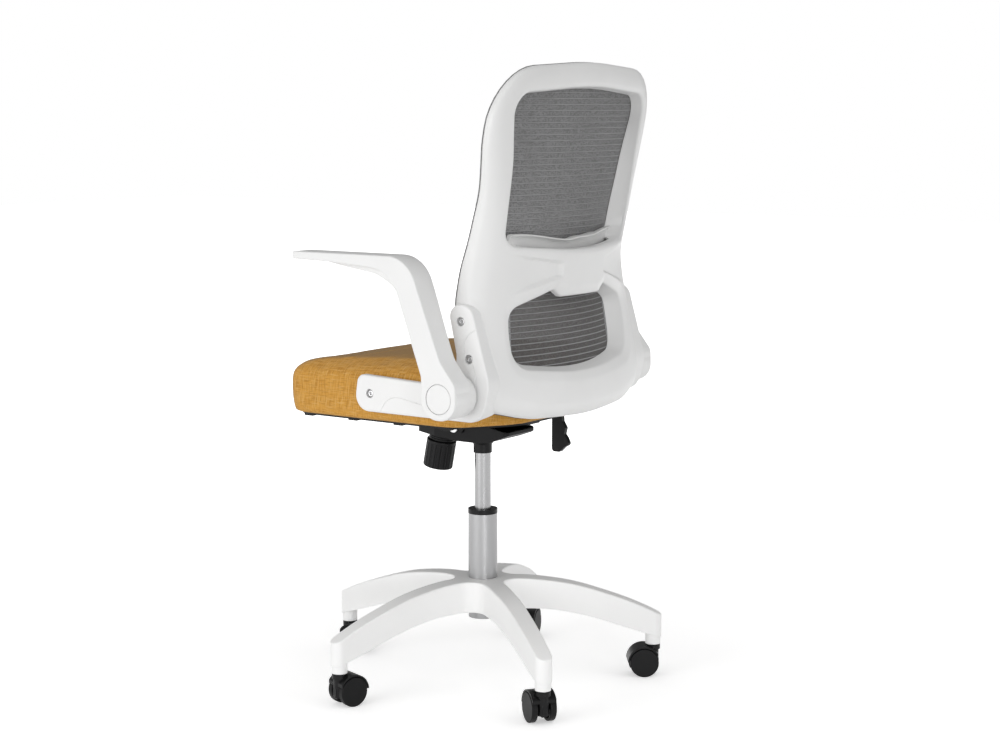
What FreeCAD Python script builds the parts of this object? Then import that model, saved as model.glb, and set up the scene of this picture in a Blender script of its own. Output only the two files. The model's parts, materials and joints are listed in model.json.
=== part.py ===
import FreeCAD, Part
import math
import os

# Mesh office chair. Millimetres, +Z up, floor at Z = 0, column axis at X = Y = 0.
# The chair faces -Y, and the sitter's left is +X.

# Star base
LEG_COUNT = 5
BASE_R = 297.0            # column axis to caster stem axis
FIRST_LEG_DEG = 270.0     # one leg points straight forward
LEG_END_HALF_W = 14.5
LEG_ROOT_HALF_W = 19.0
LEG_CORNER_R = 27.0       # hollow corner between two legs, seen from above
LEG_END_R = 13.5
SOCKET_BOTTOM_Z = 56.5
SOCKET_R = 13.2
SOCKET_DEPTH = 36.0
HUB_TOP_Z = 177.0
HUB_BOTTOM_Z = 124.0
HUB_FLAT_R = 62.0         # the hub is level out to here, then the legs arch down
LEG_END_TOP_Z = 108.0
LEG_END_BOTTOM_Z = 78.0
LEG_WALL = 4.0            # the legs are hollow from below
LEG_POCKETS = ((66.0, 158.0), (163.0, 270.0))   # along a leg, with a web between them
LEG_POCKET_R = 5.0
LEG_EDGE_R = 3.0
LEG_TOP_DROPS = ((110.0, 3.5), (160.0, 12.0), (205.0, 25.0), (255.0, 42.5))   # along, and below the hub
LEG_BOTTOM_DROPS = ((110.0, 1.5), (158.0, 9.0), (210.0, 23.0), (284.0, 47.0))
LEG_TOP_SLOPE = 0.52      # at the leg's end
LEG_BOTTOM_SLOPE = 0.42
LEG_CUT_HALF_W = 32.0     # wider than any leg

# Casters
WHEEL_R = 25.0
WHEEL_OUT = 21.5          # outer wheel face from the middle of the caster
TREAD_W = 10.7
WHEEL_FACE_T = 4.0
WHEEL_RIM_T = 4.0
WHEEL_HUB_R = 7.0
TRAIL = 16.0              # axle behind the stem
AXLE_R = 3.0
STEM_R = 5.5
RUN_FIT = 0.05            # radial clearance of a turning or sliding fit
CASTER_WEB_HALF = 4.5
CASTER_BOSS_R = 10.3
CASTER_TOP_GAP = 1.0      # swivel housing below the socket
HOOD_GAP = 1.2
HOOD_T = 2.8
HOOD_HALF_W = 20.5

# Gas lift
TUBE_R = 25.0
TUBE_WALL = 1.8
TUBE_BOTTOM_Z = 107.0
TUBE_TOP_Z = 290.0
BUSH_RIM_H = 8.0
BUSH_RIM_R = 25.5
CYL_R = 14.0
CYL_WALL = 2.5
CYL_BOTTOM_Z = 208.0
ROD_R = 5.0
PISTON_H = 10.0
SLEEVE_R = 16.0
SLEEVE_BOTTOM_Z = 396.0
SLEEVE_H = 15.0
CLIP_T = 2.0
CLIP_R = 9.0
BEARING_H = 6.0
BUTTON_R = 4.0
BUTTON_LENGTH = 16.5

# Tilt mechanism
MECH_BOTTOM_Z = 419.0
MECH_HALF_W = 45.0
MECH_FRONT_Y = -118.0
MECH_NOSE_HALF_W = 31.0
MECH_NOSE_Y = -70.0
MECH_REAR_Y = 80.0
MECH_TOP_Z = 457.0
MECH_WALL = 3.0
CYL_SEAT_R = 21.0         # boss that grips the top of the gas cylinder
CYL_TOP_Z = 442.0
PIVOT_Y = -25.0
PIVOT_Z = 443.0
PIVOT_R = 5.0
PIVOT_HEAD_R = 8.5
PLATE_Z = 466.0
PLATE_T = 4.0
PLATE_HALF_W = 66.0
PLATE_FRONT_Y = -106.0
PLATE_REAR_Y = 106.0
CHEEK_T = 3.0
CHEEK_GAP = 1.0

# Tension knob, on an axis that leans forward as it goes down
KNOB_LEAN_DEG = 11.0
KNOB_AXIS_Y = -84.0       # where the axis meets the mechanism's floor
KNOB_R = 26.0
KNOB_H = 50.0
KNOB_NECK_R = 21.0
KNOB_RINGS = 3
KNOB_RING_H = 2.2
KNOB_RING_STEP = 3.4
KNOB_DROP = 5.0           # neck's top below the floor, along the axis
KNOB_FLUTES = 18
KNOB_FLUTE_R = 2.4
BOLT_R = 5.0
BOLT_BOSS_R = 16.0        # carries the spring inside and the knob outside
RUNNING_GAP = 0.3
SPRING_R = 13.0
SPRING_WIRE = 4.0
SPRING_H = 11.0
NUT_R = 15.0
NUT_T = 5.0

# Height lever
LEVER_Y = 8.0
LEVER_Z = 450.2
LEVER_R = 3.5
LEVER_PIVOT_X = -44.0
LEVER_END_X = -222.0
PADDLE_T = 9.0
PADDLE_FRONT_Y = 1.0
PADDLE_REAR_Y = 38.0
PADDLE_BOTTOM_Z = 367.0
PADDLE_TOP_Z = 456.0

# Seat
SEAT_HALF_W = 228.0
SEAT_FRONT_Y = -282.0
SEAT_REAR_Y = 184.0
SEAT_BOTTOM_Z = 477.0
SEAT_SIDE_Z = 530.0
SEAT_TOP_Z = 571.0
SEAT_RISE = 0.024         # the top climbs towards the back
SEAT_FRONT_CORNER_R = 60.0
SEAT_REAR_CORNER_R = 62.0
SEAT_FRONT_BOW = 18.0     # the middle of the front edge stands this far out
SEAT_REAR_TURN = 78.0     # the rear corners start this far forward of the rear edge
SEAT_LOW_LEVELS = ((14.0, 0.0, 0.0), (4.0, 12.0, 0.0), (0.5, 32.0, 0.006))   # inset, over the bottom, rise
SEAT_SIDE_LEVELS = ((0.0, 0.0, 0.010), (2.0, 16.0, 0.016), (9.0, 28.0, 0.020))   # over the widest level
SEAT_CROWN_LEVELS = ((24.0, 4.5), (54.0, 0.0))   # inset, and depth below the top
COVER_T = 5.0
COVER_INSET = 17.0
PAN_T = 11.0
PAN_INSET = 22.0
FLANGE_X = 208.0
FLANGE_T = 5.0
FLANGE_TOP_Z = 552.0
SEAT_BOLT_X = 57.0
SEAT_BOLT_Y = 80.0
SEAT_BOLT_R = 3.0
SEAT_BOLT_HEAD_R = 5.0
SEAT_BOLT_HEAD_H = 4.0

# Side brackets
BRACKET_IN_X = 229.0
BRACKET_T = 11.0
BRACKET_EDGE_R = 3.0
SCREW_R = 3.0
SCREW_HEAD_R = 5.5
SCREW_HEAD_H = 3.2
SCREW_RECESS_R = 7.0
SCREW_LENGTH = 24.0
SEAT_SCREW = (-57.0, 521.0)
BACK_SCREW_HIGH = (126.0, 650.0)
BACK_SCREW_LOW = (142.0, 591.0)
BOSS_R = 9.0

# Arms
ARM_OUT_X = 300.0
ARM_PAD_IN_X = 252.0
ARM_POST_IN_X = 271.0
ARM_PIVOT_Y = 126.0
ARM_PIVOT_Z = 533.0
ARM_BARREL_R = 34.0
ARM_BARREL_GAP = 2.5
ARM_PIN_R = 6.0
ARM_CAP_R = 24.0
ARM_CAP_T = 2.5
ARM_RECESS = 14.0
ARM_TOP_Z = 753.0
ARM_TIP_Y = -169.0
ARM_PAD_T = 12.5
ARM_EDGE_R = 3.0

# Back
BACK_BOTTOM_Z = 481.0
BACK_TOP_Z = 1058.0
BACK_LOW_HALF_W = 229.0   # meets the inner face of the brackets
BACK_WAIST_HALF_W = 212.0
BACK_HIGH_HALF_W = 231.0
BACK_CORNER_R = 62.0
SHELL_WALL = 3.2
ARC_X = 225.0             # where the side values of the curved surfaces are taken
BACK_Y0 = 60.0            # the back lies between these two depths
BACK_Y1 = 260.0
RING_T = 8.0
RING_W = 24.0
RING_GAP = 0.2            # between the ring, the shell, the mesh and the brackets
MESH_T = 1.2
RECESS_D = 3.0
RAIL_HALF_W = 22.0
RAIL_FRONT_Y = 184.0
RAIL_LOW_Z = 694.0
RAIL_HIGH_Z = 750.0
RAIL_GAP = 0.3
LUMBAR_HALF_W = 150.0
LUMBAR_LOW_Z = 700.0
LUMBAR_HIGH_Z = 790.0
LUMBAR_FRONT_GAP = 3.0
LUMBAR_REAR_GAP = 2.5

# Curved back, by height: middle and side of the rear face, side depth, middle depth,
# and the middle of the mesh
BACK_CURVE = [
    (465.0, 221.0, 180.0, 42.0, 24.0, 190.0),
    (510.0, 220.0, 179.0, 42.0, 23.0, 189.0),
    (555.0, 215.0, 174.0, 42.0, 20.0, 185.0),
    (605.0, 211.0, 164.0, 42.0, 18.0, 180.0),
    (660.0, 208.0, 151.0, 40.0, 18.0, 175.0),
    (700.0, 208.0, 142.0, 37.0, 18.0, 173.0),
    (740.0, 211.0, 137.0, 33.0, 18.0, 172.0),
    (800.0, 215.0, 152.0, 31.0, 18.0, 175.0),
    (870.0, 218.0, 170.0, 27.0, 16.0, 183.0),
    (940.0, 220.0, 185.0, 25.0, 15.0, 192.0),
    (1000.0, 222.0, 197.0, 22.0, 14.0, 199.0),
    (1070.0, 226.0, 210.0, 18.0, 13.0, 206.0),
]

V = FreeCAD.Vector
Z_AXIS = V(0, 0, 1)
X_AXIS = V(1, 0, 0)


def save(name, shape):
    """Write one sub-part, and stop if any of its solids is broken."""
    for solid in shape.Solids:
        if not solid.isValid():
            raise RuntimeError("broken solid in " + name)
    shape.exportStep("parts/" + name + ".step")
    print(name, len(shape.Solids), round(shape.Volume / 1000.0, 1), "cm3")


def cylinder(radius, start, end):
    """A round bar between two points."""
    run = end.sub(start)
    return Part.makeCylinder(radius, run.Length, start, run)


def tube(outer, inner, start, end):
    """A round bar with a bore all the way through."""
    run = end.sub(start).normalize()
    return cylinder(outer, start, end).cut(cylinder(inner, start.sub(run), end.add(run)))


def box(x0, x1, y0, y1, z0, z1):
    """A block between two corners."""
    return Part.makeBox(x1 - x0, y1 - y0, z1 - z0, V(x0, y0, z0))


def rounded_edges(points, place):
    """Edges of a closed outline of (a, b) or (a, b, radius) corners, mapped by place(a, b)."""
    flat = [(p[0], p[1], p[2] if len(p) > 2 else 0.0) for p in points]
    count = len(flat)
    starts = []
    middles = []
    ends = []
    for i, (a, b, radius) in enumerate(flat):
        before = flat[i - 1]
        after = flat[(i + 1) % count]
        ua = (before[0] - a, before[1] - b)
        ub = (after[0] - a, after[1] - b)
        la = math.hypot(*ua)
        lb = math.hypot(*ub)
        ua = (ua[0] / la, ua[1] / la)
        ub = (ub[0] / lb, ub[1] / lb)
        if radius <= 0.0:
            starts.append((a, b))
            middles.append(None)
            ends.append((a, b))
            continue
        turn = math.acos(max(-1.0, min(1.0, ua[0] * ub[0] + ua[1] * ub[1])))
        back = radius / math.tan(turn / 2.0)
        bis = (ua[0] + ub[0], ua[1] + ub[1])
        size = math.hypot(*bis)
        reach = radius / math.sin(turn / 2.0) - radius
        starts.append((a + ua[0] * back, b + ua[1] * back))
        middles.append((a + bis[0] / size * reach, b + bis[1] / size * reach))
        ends.append((a + ub[0] * back, b + ub[1] * back))
    edges = []
    for i in range(count):
        if middles[i] is not None:
            edges.append(Part.Arc(place(*starts[i]), place(*middles[i]), place(*ends[i])).toShape())
        following = starts[(i + 1) % count]
        if math.hypot(following[0] - ends[i][0], following[1] - ends[i][1]) > 1e-6:
            edges.append(Part.LineSegment(place(*ends[i]), place(*following)).toShape())
    return edges


def outline(points, place):
    """A closed wire of rounded corners."""
    return Part.Wire(rounded_edges(points, place))


def plan_prism(points, z0, z1):
    """An outline in X and Y, raised from z0 to z1."""
    wire = outline(points, lambda a, b: V(a, b, z0))
    return Part.Face(wire).extrude(V(0, 0, z1 - z0))


def side_prism(points, x0, x1):
    """An outline in Y and Z, drawn along X from x0 to x1."""
    wire = outline(points, lambda a, b: V(x0, a, b))
    return Part.Face(wire).extrude(V(x1 - x0, 0, 0))


def rear_prism(points, y0, y1):
    """An outline in X and Z, drawn along Y from y0 to y1."""
    wire = outline(points, lambda a, b: V(a, y0, b))
    return Part.Face(wire).extrude(V(0, y1 - y0, 0))


def mirrored(shape):
    """The same shape on the other side of the chair."""
    return shape.mirror(V(0, 0, 0), X_AXIS)


def both_halves(half):
    """A closed outline in X and Z from its corners on the +X side, bottom to top."""
    left = [(-p[0],) + tuple(p[1:]) for p in reversed(half) if p[0] > 0.0]
    return list(half) + left


def leg_angles():
    """The five leg directions, in radians."""
    return [math.radians(FIRST_LEG_DEG + 360.0 / LEG_COUNT * k) for k in range(LEG_COUNT)]


def polar(radius, angle, z):
    """A point at a distance from the column."""
    return V(radius * math.cos(angle), radius * math.sin(angle), z)


# Star base

def star_outline(inset):
    """The base seen from above: five tapered legs with hollow corners between them."""
    points = []
    half_step = math.pi / LEG_COUNT
    root = LEG_ROOT_HALF_W - inset
    end = LEG_END_HALF_W - inset
    tip = BASE_R + LEG_END_HALF_W - inset
    taper = (root - end) / BASE_R
    corner_r = (root / math.sin(half_step)) / (1.0 + taper / math.tan(half_step))
    for angle in leg_angles():
        along = (math.cos(angle), math.sin(angle))
        across = (-math.sin(angle), math.cos(angle))
        for side in (-1.0, 1.0):
            x = along[0] * tip + across[0] * side * end
            y = along[1] * tip + across[1] * side * end
            points.append((x, y, LEG_END_R - inset))
        middle = angle + half_step
        points.append((corner_r * math.cos(middle), corner_r * math.sin(middle), LEG_CORNER_R + inset))
    return points


def leg_slab(angle, lower):
    """One leg's side view, as wide as the widest leg and lowered by a distance."""
    tip = BASE_R + LEG_END_HALF_W + 6.0
    half = LEG_CUT_HALF_W
    high = HUB_TOP_Z - lower
    low = HUB_BOTTOM_Z - lower
    tip_high = LEG_END_TOP_Z - 2.5 - lower
    tip_low = LEG_END_BOTTOM_Z - 12.0 - lower

    def side_curve(level, drops, tip_level, slope):
        points = [V(HUB_FLAT_R, -half, level)] + [V(along, -half, level - drop) for along, drop in drops]
        curve = Part.BSplineCurve()
        curve.interpolate(
            Points=points + [V(tip, -half, tip_level)], InitialTangent=X_AXIS, FinalTangent=V(1, 0, -slope)
        )
        return curve

    top = side_curve(high, LEG_TOP_DROPS, tip_high, LEG_TOP_SLOPE)
    bottom = side_curve(low, LEG_BOTTOM_DROPS, tip_low, LEG_BOTTOM_SLOPE)
    edges = [
        Part.LineSegment(V(0, -half, high), V(HUB_FLAT_R, -half, high)).toShape(),
        top.toShape(),
        Part.LineSegment(V(tip, -half, tip_high), V(tip, -half, tip_low)).toShape(),
        bottom.toShape(),
        Part.LineSegment(V(HUB_FLAT_R, -half, low), V(0, -half, low)).toShape(),
        Part.LineSegment(V(0, -half, low), V(0, -half, high)).toShape(),
    ]
    slab = Part.Face(Part.Wire(Part.__sortEdges__(edges))).extrude(V(0, 2.0 * half, 0))
    slab.rotate(V(0, 0, 0), Z_AXIS, math.degrees(angle))
    return slab


def leg_pocket(angle, start, end):
    """A hollow in the underside of one leg, between two distances from the column."""
    def half(distance):
        share = distance / BASE_R
        return LEG_ROOT_HALF_W + (LEG_END_HALF_W - LEG_ROOT_HALF_W) * share - LEG_WALL

    corners = [(start, -half(start)), (end, -half(end)), (end, half(end)), (start, half(start))]
    room = plan_prism([(along, across, LEG_POCKET_R) for along, across in corners], 0.0, HUB_TOP_Z)
    room.rotate(V(0, 0, 0), Z_AXIS, math.degrees(angle))
    return room.common(leg_slab(angle, LEG_WALL).fuse(leg_slab(angle, LEG_WALL + 30.0)))


def top_edges(body):
    """The edges between the upright sides and the top of the base."""
    def rise(face):
        u0, u1, v0, v1 = face.ParameterRange
        return face.normalAt((u0 + u1) / 2.0, (v0 + v1) / 2.0).z

    found = []
    for edge in body.Edges:
        rises = [rise(face) for face in body.Faces if any(edge.isSame(other) for other in face.Edges)]
        if len(rises) == 2 and max(rises) > 0.5 and abs(min(rises)) < 0.1:
            found.append(edge)
    return found


def star_base():
    """Five arched legs in one moulding, with a bore for the gas lift and a socket at each end."""
    slabs = [leg_slab(angle, 0.0) for angle in leg_angles()]
    body = slabs[0].fuse(slabs[1:])
    body = body.common(plan_prism(star_outline(0.0), SOCKET_BOTTOM_Z, HUB_TOP_Z + 10.0)).removeSplitter()
    body = body.makeFillet(LEG_EDGE_R, top_edges(body))
    sockets = []
    bores = [cylinder(TUBE_R + RUN_FIT, V(0, 0, 0), V(0, 0, HUB_TOP_Z + 20.0))]
    for angle in leg_angles():
        for start, end in LEG_POCKETS:
            bores.append(leg_pocket(angle, start, end))
        foot = polar(BASE_R, angle, SOCKET_BOTTOM_Z)
        sockets.append(cylinder(SOCKET_R, foot, polar(BASE_R, angle, LEG_END_BOTTOM_Z + 14.0)))
        top = polar(BASE_R, angle, SOCKET_BOTTOM_Z + SOCKET_DEPTH)
        bores.append(cylinder(STEM_R + RUN_FIT, foot.sub(Z_AXIS), top))
    return body.fuse(sockets).cut(bores)


# Casters

def caster_placed(shape, angle):
    """Turn a caster part, made at the column with its wheels towards -X, to its leg."""
    copy = shape.copy()
    copy.rotate(V(0, 0, 0), Z_AXIS, math.degrees(angle))
    copy.translate(polar(BASE_R, angle, 0.0))
    return copy


def caster_housing():
    """Swivel housing: stem boss, middle web and the hood over both wheels."""
    top = SOCKET_BOTTOM_Z - CASTER_TOP_GAP
    axle_a = V(-TRAIL, -60, WHEEL_R)
    axle_b = V(-TRAIL, 60, WHEEL_R)
    hood_in = WHEEL_R + HOOD_GAP
    hood = tube(hood_in + HOOD_T, hood_in, V(-TRAIL, -HOOD_HALF_W, WHEEL_R), V(-TRAIL, HOOD_HALF_W, WHEEL_R))
    hood = hood.common(box(-90, TRAIL * 0.5, -60, 60, WHEEL_R + 2.0, 90))
    web = cylinder(hood_in + 0.5, V(-TRAIL, -CASTER_WEB_HALF, WHEEL_R), V(-TRAIL, CASTER_WEB_HALF, WHEEL_R))
    web = web.common(box(-90, CASTER_BOSS_R, -60, 60, WHEEL_R - 12.0, 90))
    boss = cylinder(CASTER_BOSS_R, V(0, 0, WHEEL_R - 10.0), V(0, 0, top))
    room_left = cylinder(hood_in, V(-TRAIL, WHEEL_OUT - TREAD_W - 0.6, WHEEL_R), axle_b)
    room_right = cylinder(hood_in, axle_a, V(-TRAIL, -WHEEL_OUT + TREAD_W + 0.6, WHEEL_R))
    hub_room_left = cylinder(WHEEL_HUB_R + 0.6, V(-TRAIL, CASTER_WEB_HALF, WHEEL_R), axle_b)
    hub_room_right = cylinder(WHEEL_HUB_R + 0.6, axle_a, V(-TRAIL, -CASTER_WEB_HALF, WHEEL_R))
    collar = cylinder(CASTER_BOSS_R + 2.5, V(0, 0, WHEEL_R + hood_in - 4.0), V(0, 0, top))
    body = hood.fuse([web, boss, collar])
    body = body.cut([room_left, room_right, hub_room_left, hub_room_right])
    stem_bore = cylinder(STEM_R + RUN_FIT, V(0, 0, WHEEL_R - 4.0), V(0, 0, top + 5.0))
    axle_bore = cylinder(AXLE_R + RUN_FIT, axle_a, axle_b)
    return body.cut([stem_bore, axle_bore])


def caster_wheel(side):
    """A cupped wheel with its hub towards the middle of the caster."""
    centre = V(-TRAIL, 0, WHEEL_R)
    inner = side * (CASTER_WEB_HALF + 0.4)
    rim_in = side * (WHEEL_OUT - TREAD_W)
    face_in = side * (WHEEL_OUT - WHEEL_FACE_T)
    outer = side * WHEEL_OUT
    rim = cylinder(WHEEL_R, centre.add(V(0, rim_in, 0)), centre.add(V(0, outer, 0)))
    edge_list = [e for e in rim.Edges if e.Curve.TypeId == "Part::GeomCircle"]
    rim = rim.makeFillet(1.5, edge_list)
    cup = cylinder(WHEEL_R - WHEEL_RIM_T, centre.add(V(0, rim_in - side, 0)), centre.add(V(0, face_in, 0)))
    hub = cylinder(WHEEL_HUB_R, centre.add(V(0, inner, 0)), centre.add(V(0, face_in + side, 0)))
    bore = cylinder(AXLE_R + RUN_FIT, centre.add(V(0, inner - side, 0)), centre.add(V(0, face_in, 0)))
    return rim.cut(cup).fuse(hub).cut(bore)


def caster_axle():
    """Steel pin that carries both wheels."""
    half = WHEEL_OUT - WHEEL_FACE_T - 0.4
    return cylinder(AXLE_R, V(-TRAIL, -half, WHEEL_R), V(-TRAIL, half, WHEEL_R))


def caster_stem():
    """Steel stem pressed up into the leg, on which the housing turns."""
    low = WHEEL_R - 3.5
    high = SOCKET_BOTTOM_Z + SOCKET_DEPTH - 0.5
    return cylinder(STEM_R, V(0, 0, low), V(0, 0, high))


# Gas lift

def lift_parts():
    """Outer tube, guide bush, rod with piston, bearing, clip, cylinder, sleeve and button."""
    floor_top = TUBE_BOTTOM_Z + 3.0
    outer = cylinder(TUBE_R, V(0, 0, TUBE_BOTTOM_Z), V(0, 0, TUBE_TOP_Z))
    outer = outer.cut(cylinder(TUBE_R - TUBE_WALL, V(0, 0, floor_top), V(0, 0, TUBE_TOP_Z + 5)))
    outer = outer.cut(cylinder(ROD_R + RUN_FIT, V(0, 0, 0), V(0, 0, floor_top + 5)))
    bush_low = CYL_BOTTOM_Z + 10.0
    bush = cylinder(TUBE_R - TUBE_WALL - RUN_FIT, V(0, 0, bush_low), V(0, 0, TUBE_TOP_Z))
    bush = bush.fuse(cylinder(BUSH_RIM_R, V(0, 0, TUBE_TOP_Z), V(0, 0, TUBE_TOP_Z + BUSH_RIM_H)))
    bush = bush.cut(cylinder(CYL_R + RUN_FIT, V(0, 0, 0), V(0, 0, TUBE_TOP_Z + 50)))
    cap_top = CYL_BOTTOM_Z + 8.0
    piston_low = cap_top + 2.0
    clip_low = TUBE_BOTTOM_Z - 0.2 - CLIP_T
    rod = cylinder(ROD_R, V(0, 0, clip_low - 2.0), V(0, 0, piston_low + PISTON_H))
    rod = rod.fuse(cylinder(CYL_R - CYL_WALL - RUN_FIT, V(0, 0, piston_low), V(0, 0, piston_low + PISTON_H)))
    clip = tube(CLIP_R, ROD_R, V(0, 0, clip_low), V(0, 0, clip_low + CLIP_T))
    bearing = tube(CLIP_R + 3.0, ROD_R, V(0, 0, floor_top + 0.2), V(0, 0, floor_top + 0.2 + BEARING_H))
    gas = cylinder(CYL_R, V(0, 0, CYL_BOTTOM_Z), V(0, 0, CYL_TOP_Z))
    bore_top = CYL_TOP_Z - BUTTON_LENGTH - 12.0
    gas = gas.cut(cylinder(CYL_R - CYL_WALL, V(0, 0, cap_top), V(0, 0, bore_top)))
    gas = gas.cut(cylinder(ROD_R + RUN_FIT, V(0, 0, 0), V(0, 0, cap_top + 1)))
    button_top = LEVER_Z - LEVER_R - 0.2
    gas = gas.cut(cylinder(BUTTON_R + RUN_FIT, V(0, 0, button_top - BUTTON_LENGTH - 5.0), V(0, 0, 500)))
    sleeve = tube(SLEEVE_R, CYL_R + RUN_FIT, V(0, 0, SLEEVE_BOTTOM_Z), V(0, 0, SLEEVE_BOTTOM_Z + SLEEVE_H))
    button = cylinder(BUTTON_R, V(0, 0, button_top - BUTTON_LENGTH), V(0, 0, button_top))
    return {
        "lift_outer_tube": outer,
        "lift_guide_bush": bush,
        "lift_piston_rod": rod,
        "lift_retaining_clip": clip,
        "lift_thrust_bearing": bearing,
        "lift_gas_cylinder": gas,
        "lift_cover_sleeve": sleeve,
        "lift_release_button": button,
    }


# Tilt mechanism

def knob_point(distance):
    """A point on the knob's leaning axis, this far below the mechanism's floor."""
    lean = math.radians(KNOB_LEAN_DEG)
    top_z = MECH_BOTTOM_Z + 7.0
    return V(0, KNOB_AXIS_Y - distance * math.sin(lean), top_z - distance * math.cos(lean))


def mechanism_housing():
    """Cast pan with a boss that grips the gas cylinder and a nose for the tension bolt."""
    base = MECH_BOTTOM_Z
    side = [
        (MECH_FRONT_Y, base + 8.0, 4.0), (-60.0, base + 4.0), (PIVOT_Y, base), (25.0, base),
        (47.0, base + 4.0), (69.0, base + 12.0), (MECH_REAR_Y, base + 17.0), (MECH_REAR_Y, base + 22.0),
        (0.0, MECH_TOP_Z), (MECH_FRONT_Y, MECH_TOP_Z),
    ]
    wall = MECH_WALL
    inside = [
        (MECH_FRONT_Y + wall, base + 8.0 + wall), (-60.0, base + 4.0 + wall), (PIVOT_Y, base + wall),
        (25.0, base + wall), (46.0, base + 4.0 + wall), (68.0, base + 12.0 + wall),
        (MECH_REAR_Y - wall, base + 17.0 + wall), (MECH_REAR_Y - wall, MECH_TOP_Z + 20.0),
        (MECH_FRONT_Y + wall, MECH_TOP_Z + 20.0),
    ]

    def plan(inset):
        half = MECH_HALF_W - inset
        nose = MECH_NOSE_HALF_W - inset
        return [
            (-nose, MECH_FRONT_Y + inset, 12.0), (nose, MECH_FRONT_Y + inset, 12.0), (half, MECH_NOSE_Y, 12.0),
            (half, MECH_REAR_Y - inset, 10.0), (-half, MECH_REAR_Y - inset, 10.0), (-half, MECH_NOSE_Y, 12.0),
        ]

    body = side_prism(side, -MECH_HALF_W, MECH_HALF_W).common(plan_prism(plan(0.0), base - 10, MECH_TOP_Z + 10))
    room = side_prism(inside, -MECH_HALF_W, MECH_HALF_W)
    room = room.common(plan_prism(plan(wall), base - 10, MECH_TOP_Z + 30))
    sleeve_top = SLEEVE_BOTTOM_Z + SLEEVE_H
    funnel = Part.makeCone(SLEEVE_R + 0.5, CYL_SEAT_R + 3.0, base + 1.0 - sleeve_top, V(0, 0, sleeve_top))
    boss = cylinder(CYL_SEAT_R, V(0, 0, base), V(0, 0, CYL_TOP_Z + 2.0))
    bolt_boss = cylinder(BOLT_BOSS_R, knob_point(-MECH_WALL - 1.0), knob_point(KNOB_DROP - RUNNING_GAP))
    body = body.cut(room).fuse([funnel, boss, bolt_boss])
    pin_hole = cylinder(PIVOT_R + RUN_FIT, V(-100, PIVOT_Y, PIVOT_Z), V(100, PIVOT_Y, PIVOT_Z))
    bore = cylinder(CYL_R + RUN_FIT, V(0, 0, 0), V(0, 0, 500))
    bolt_hole = cylinder(BOLT_R + RUN_FIT, knob_point(-45.0), knob_point(60.0))
    lever_slot = box(-60, -20, LEVER_Y - LEVER_R - 1, LEVER_Y + LEVER_R + 1, LEVER_Z - LEVER_R - 1, 500)
    return body.cut([pin_hole, bore, bolt_hole, lever_slot])


def mechanism_top_plate():
    """Steel plate under the seat, with two cheeks on the tilt pin and a rear tab."""
    plan = [
        (-PLATE_HALF_W, PLATE_FRONT_Y, 12.0), (PLATE_HALF_W, PLATE_FRONT_Y, 12.0),
        (PLATE_HALF_W, PLATE_REAR_Y, 12.0), (-PLATE_HALF_W, PLATE_REAR_Y, 12.0),
    ]
    top = PLATE_Z + PLATE_T
    plate = plan_prism(plan, PLATE_Z, top)
    cheek = [
        (-72.0, PLATE_Z + 1.0), (-45.0, PIVOT_Z - 10.0, 8.0), (-9.0, PIVOT_Z - 10.0, 8.0), (-1.0, PLATE_Z + 1.0),
    ]
    inner = MECH_HALF_W + CHEEK_GAP
    left = side_prism(cheek, inner, inner + CHEEK_T)
    right = side_prism(cheek, -inner - CHEEK_T, -inner)
    tab = side_prism([
        (PLATE_REAR_Y - 14.0, PLATE_Z + 1.0), (PLATE_REAR_Y - 11.0, PLATE_Z - 12.0, 2.0),
        (PLATE_REAR_Y, PLATE_Z - 12.0, 2.0), (PLATE_REAR_Y, PLATE_Z + 1.0),
    ], -18.0, 18.0)
    holes = [cylinder(PIVOT_R + RUN_FIT, V(-100, PIVOT_Y, PIVOT_Z), V(100, PIVOT_Y, PIVOT_Z))]
    for x, y in seat_bolt_places():
        holes.append(cylinder(SEAT_BOLT_R, V(x, y, PLATE_Z - 5), V(x, y, top + 5)))
    return plate.fuse([left, right, tab]).cut(holes)


def tilt_pivot_pin():
    """Steel pin through the cheeks and the housing, with a round head at each end."""
    reach = MECH_HALF_W + CHEEK_GAP + CHEEK_T + 0.3
    pin = cylinder(PIVOT_R, V(-reach, PIVOT_Y, PIVOT_Z), V(reach, PIVOT_Y, PIVOT_Z))
    heads = []
    for side in (-1.0, 1.0):
        head = cylinder(PIVOT_HEAD_R, V(side * reach, PIVOT_Y, PIVOT_Z), V(side * (reach + 3.0), PIVOT_Y, PIVOT_Z))
        heads.append(head)
    dimple = cylinder(PIVOT_R - 1.0, V(reach + 1.5, PIVOT_Y, PIVOT_Z), V(reach + 10, PIVOT_Y, PIVOT_Z))
    return pin.fuse(heads).cut(dimple)


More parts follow.
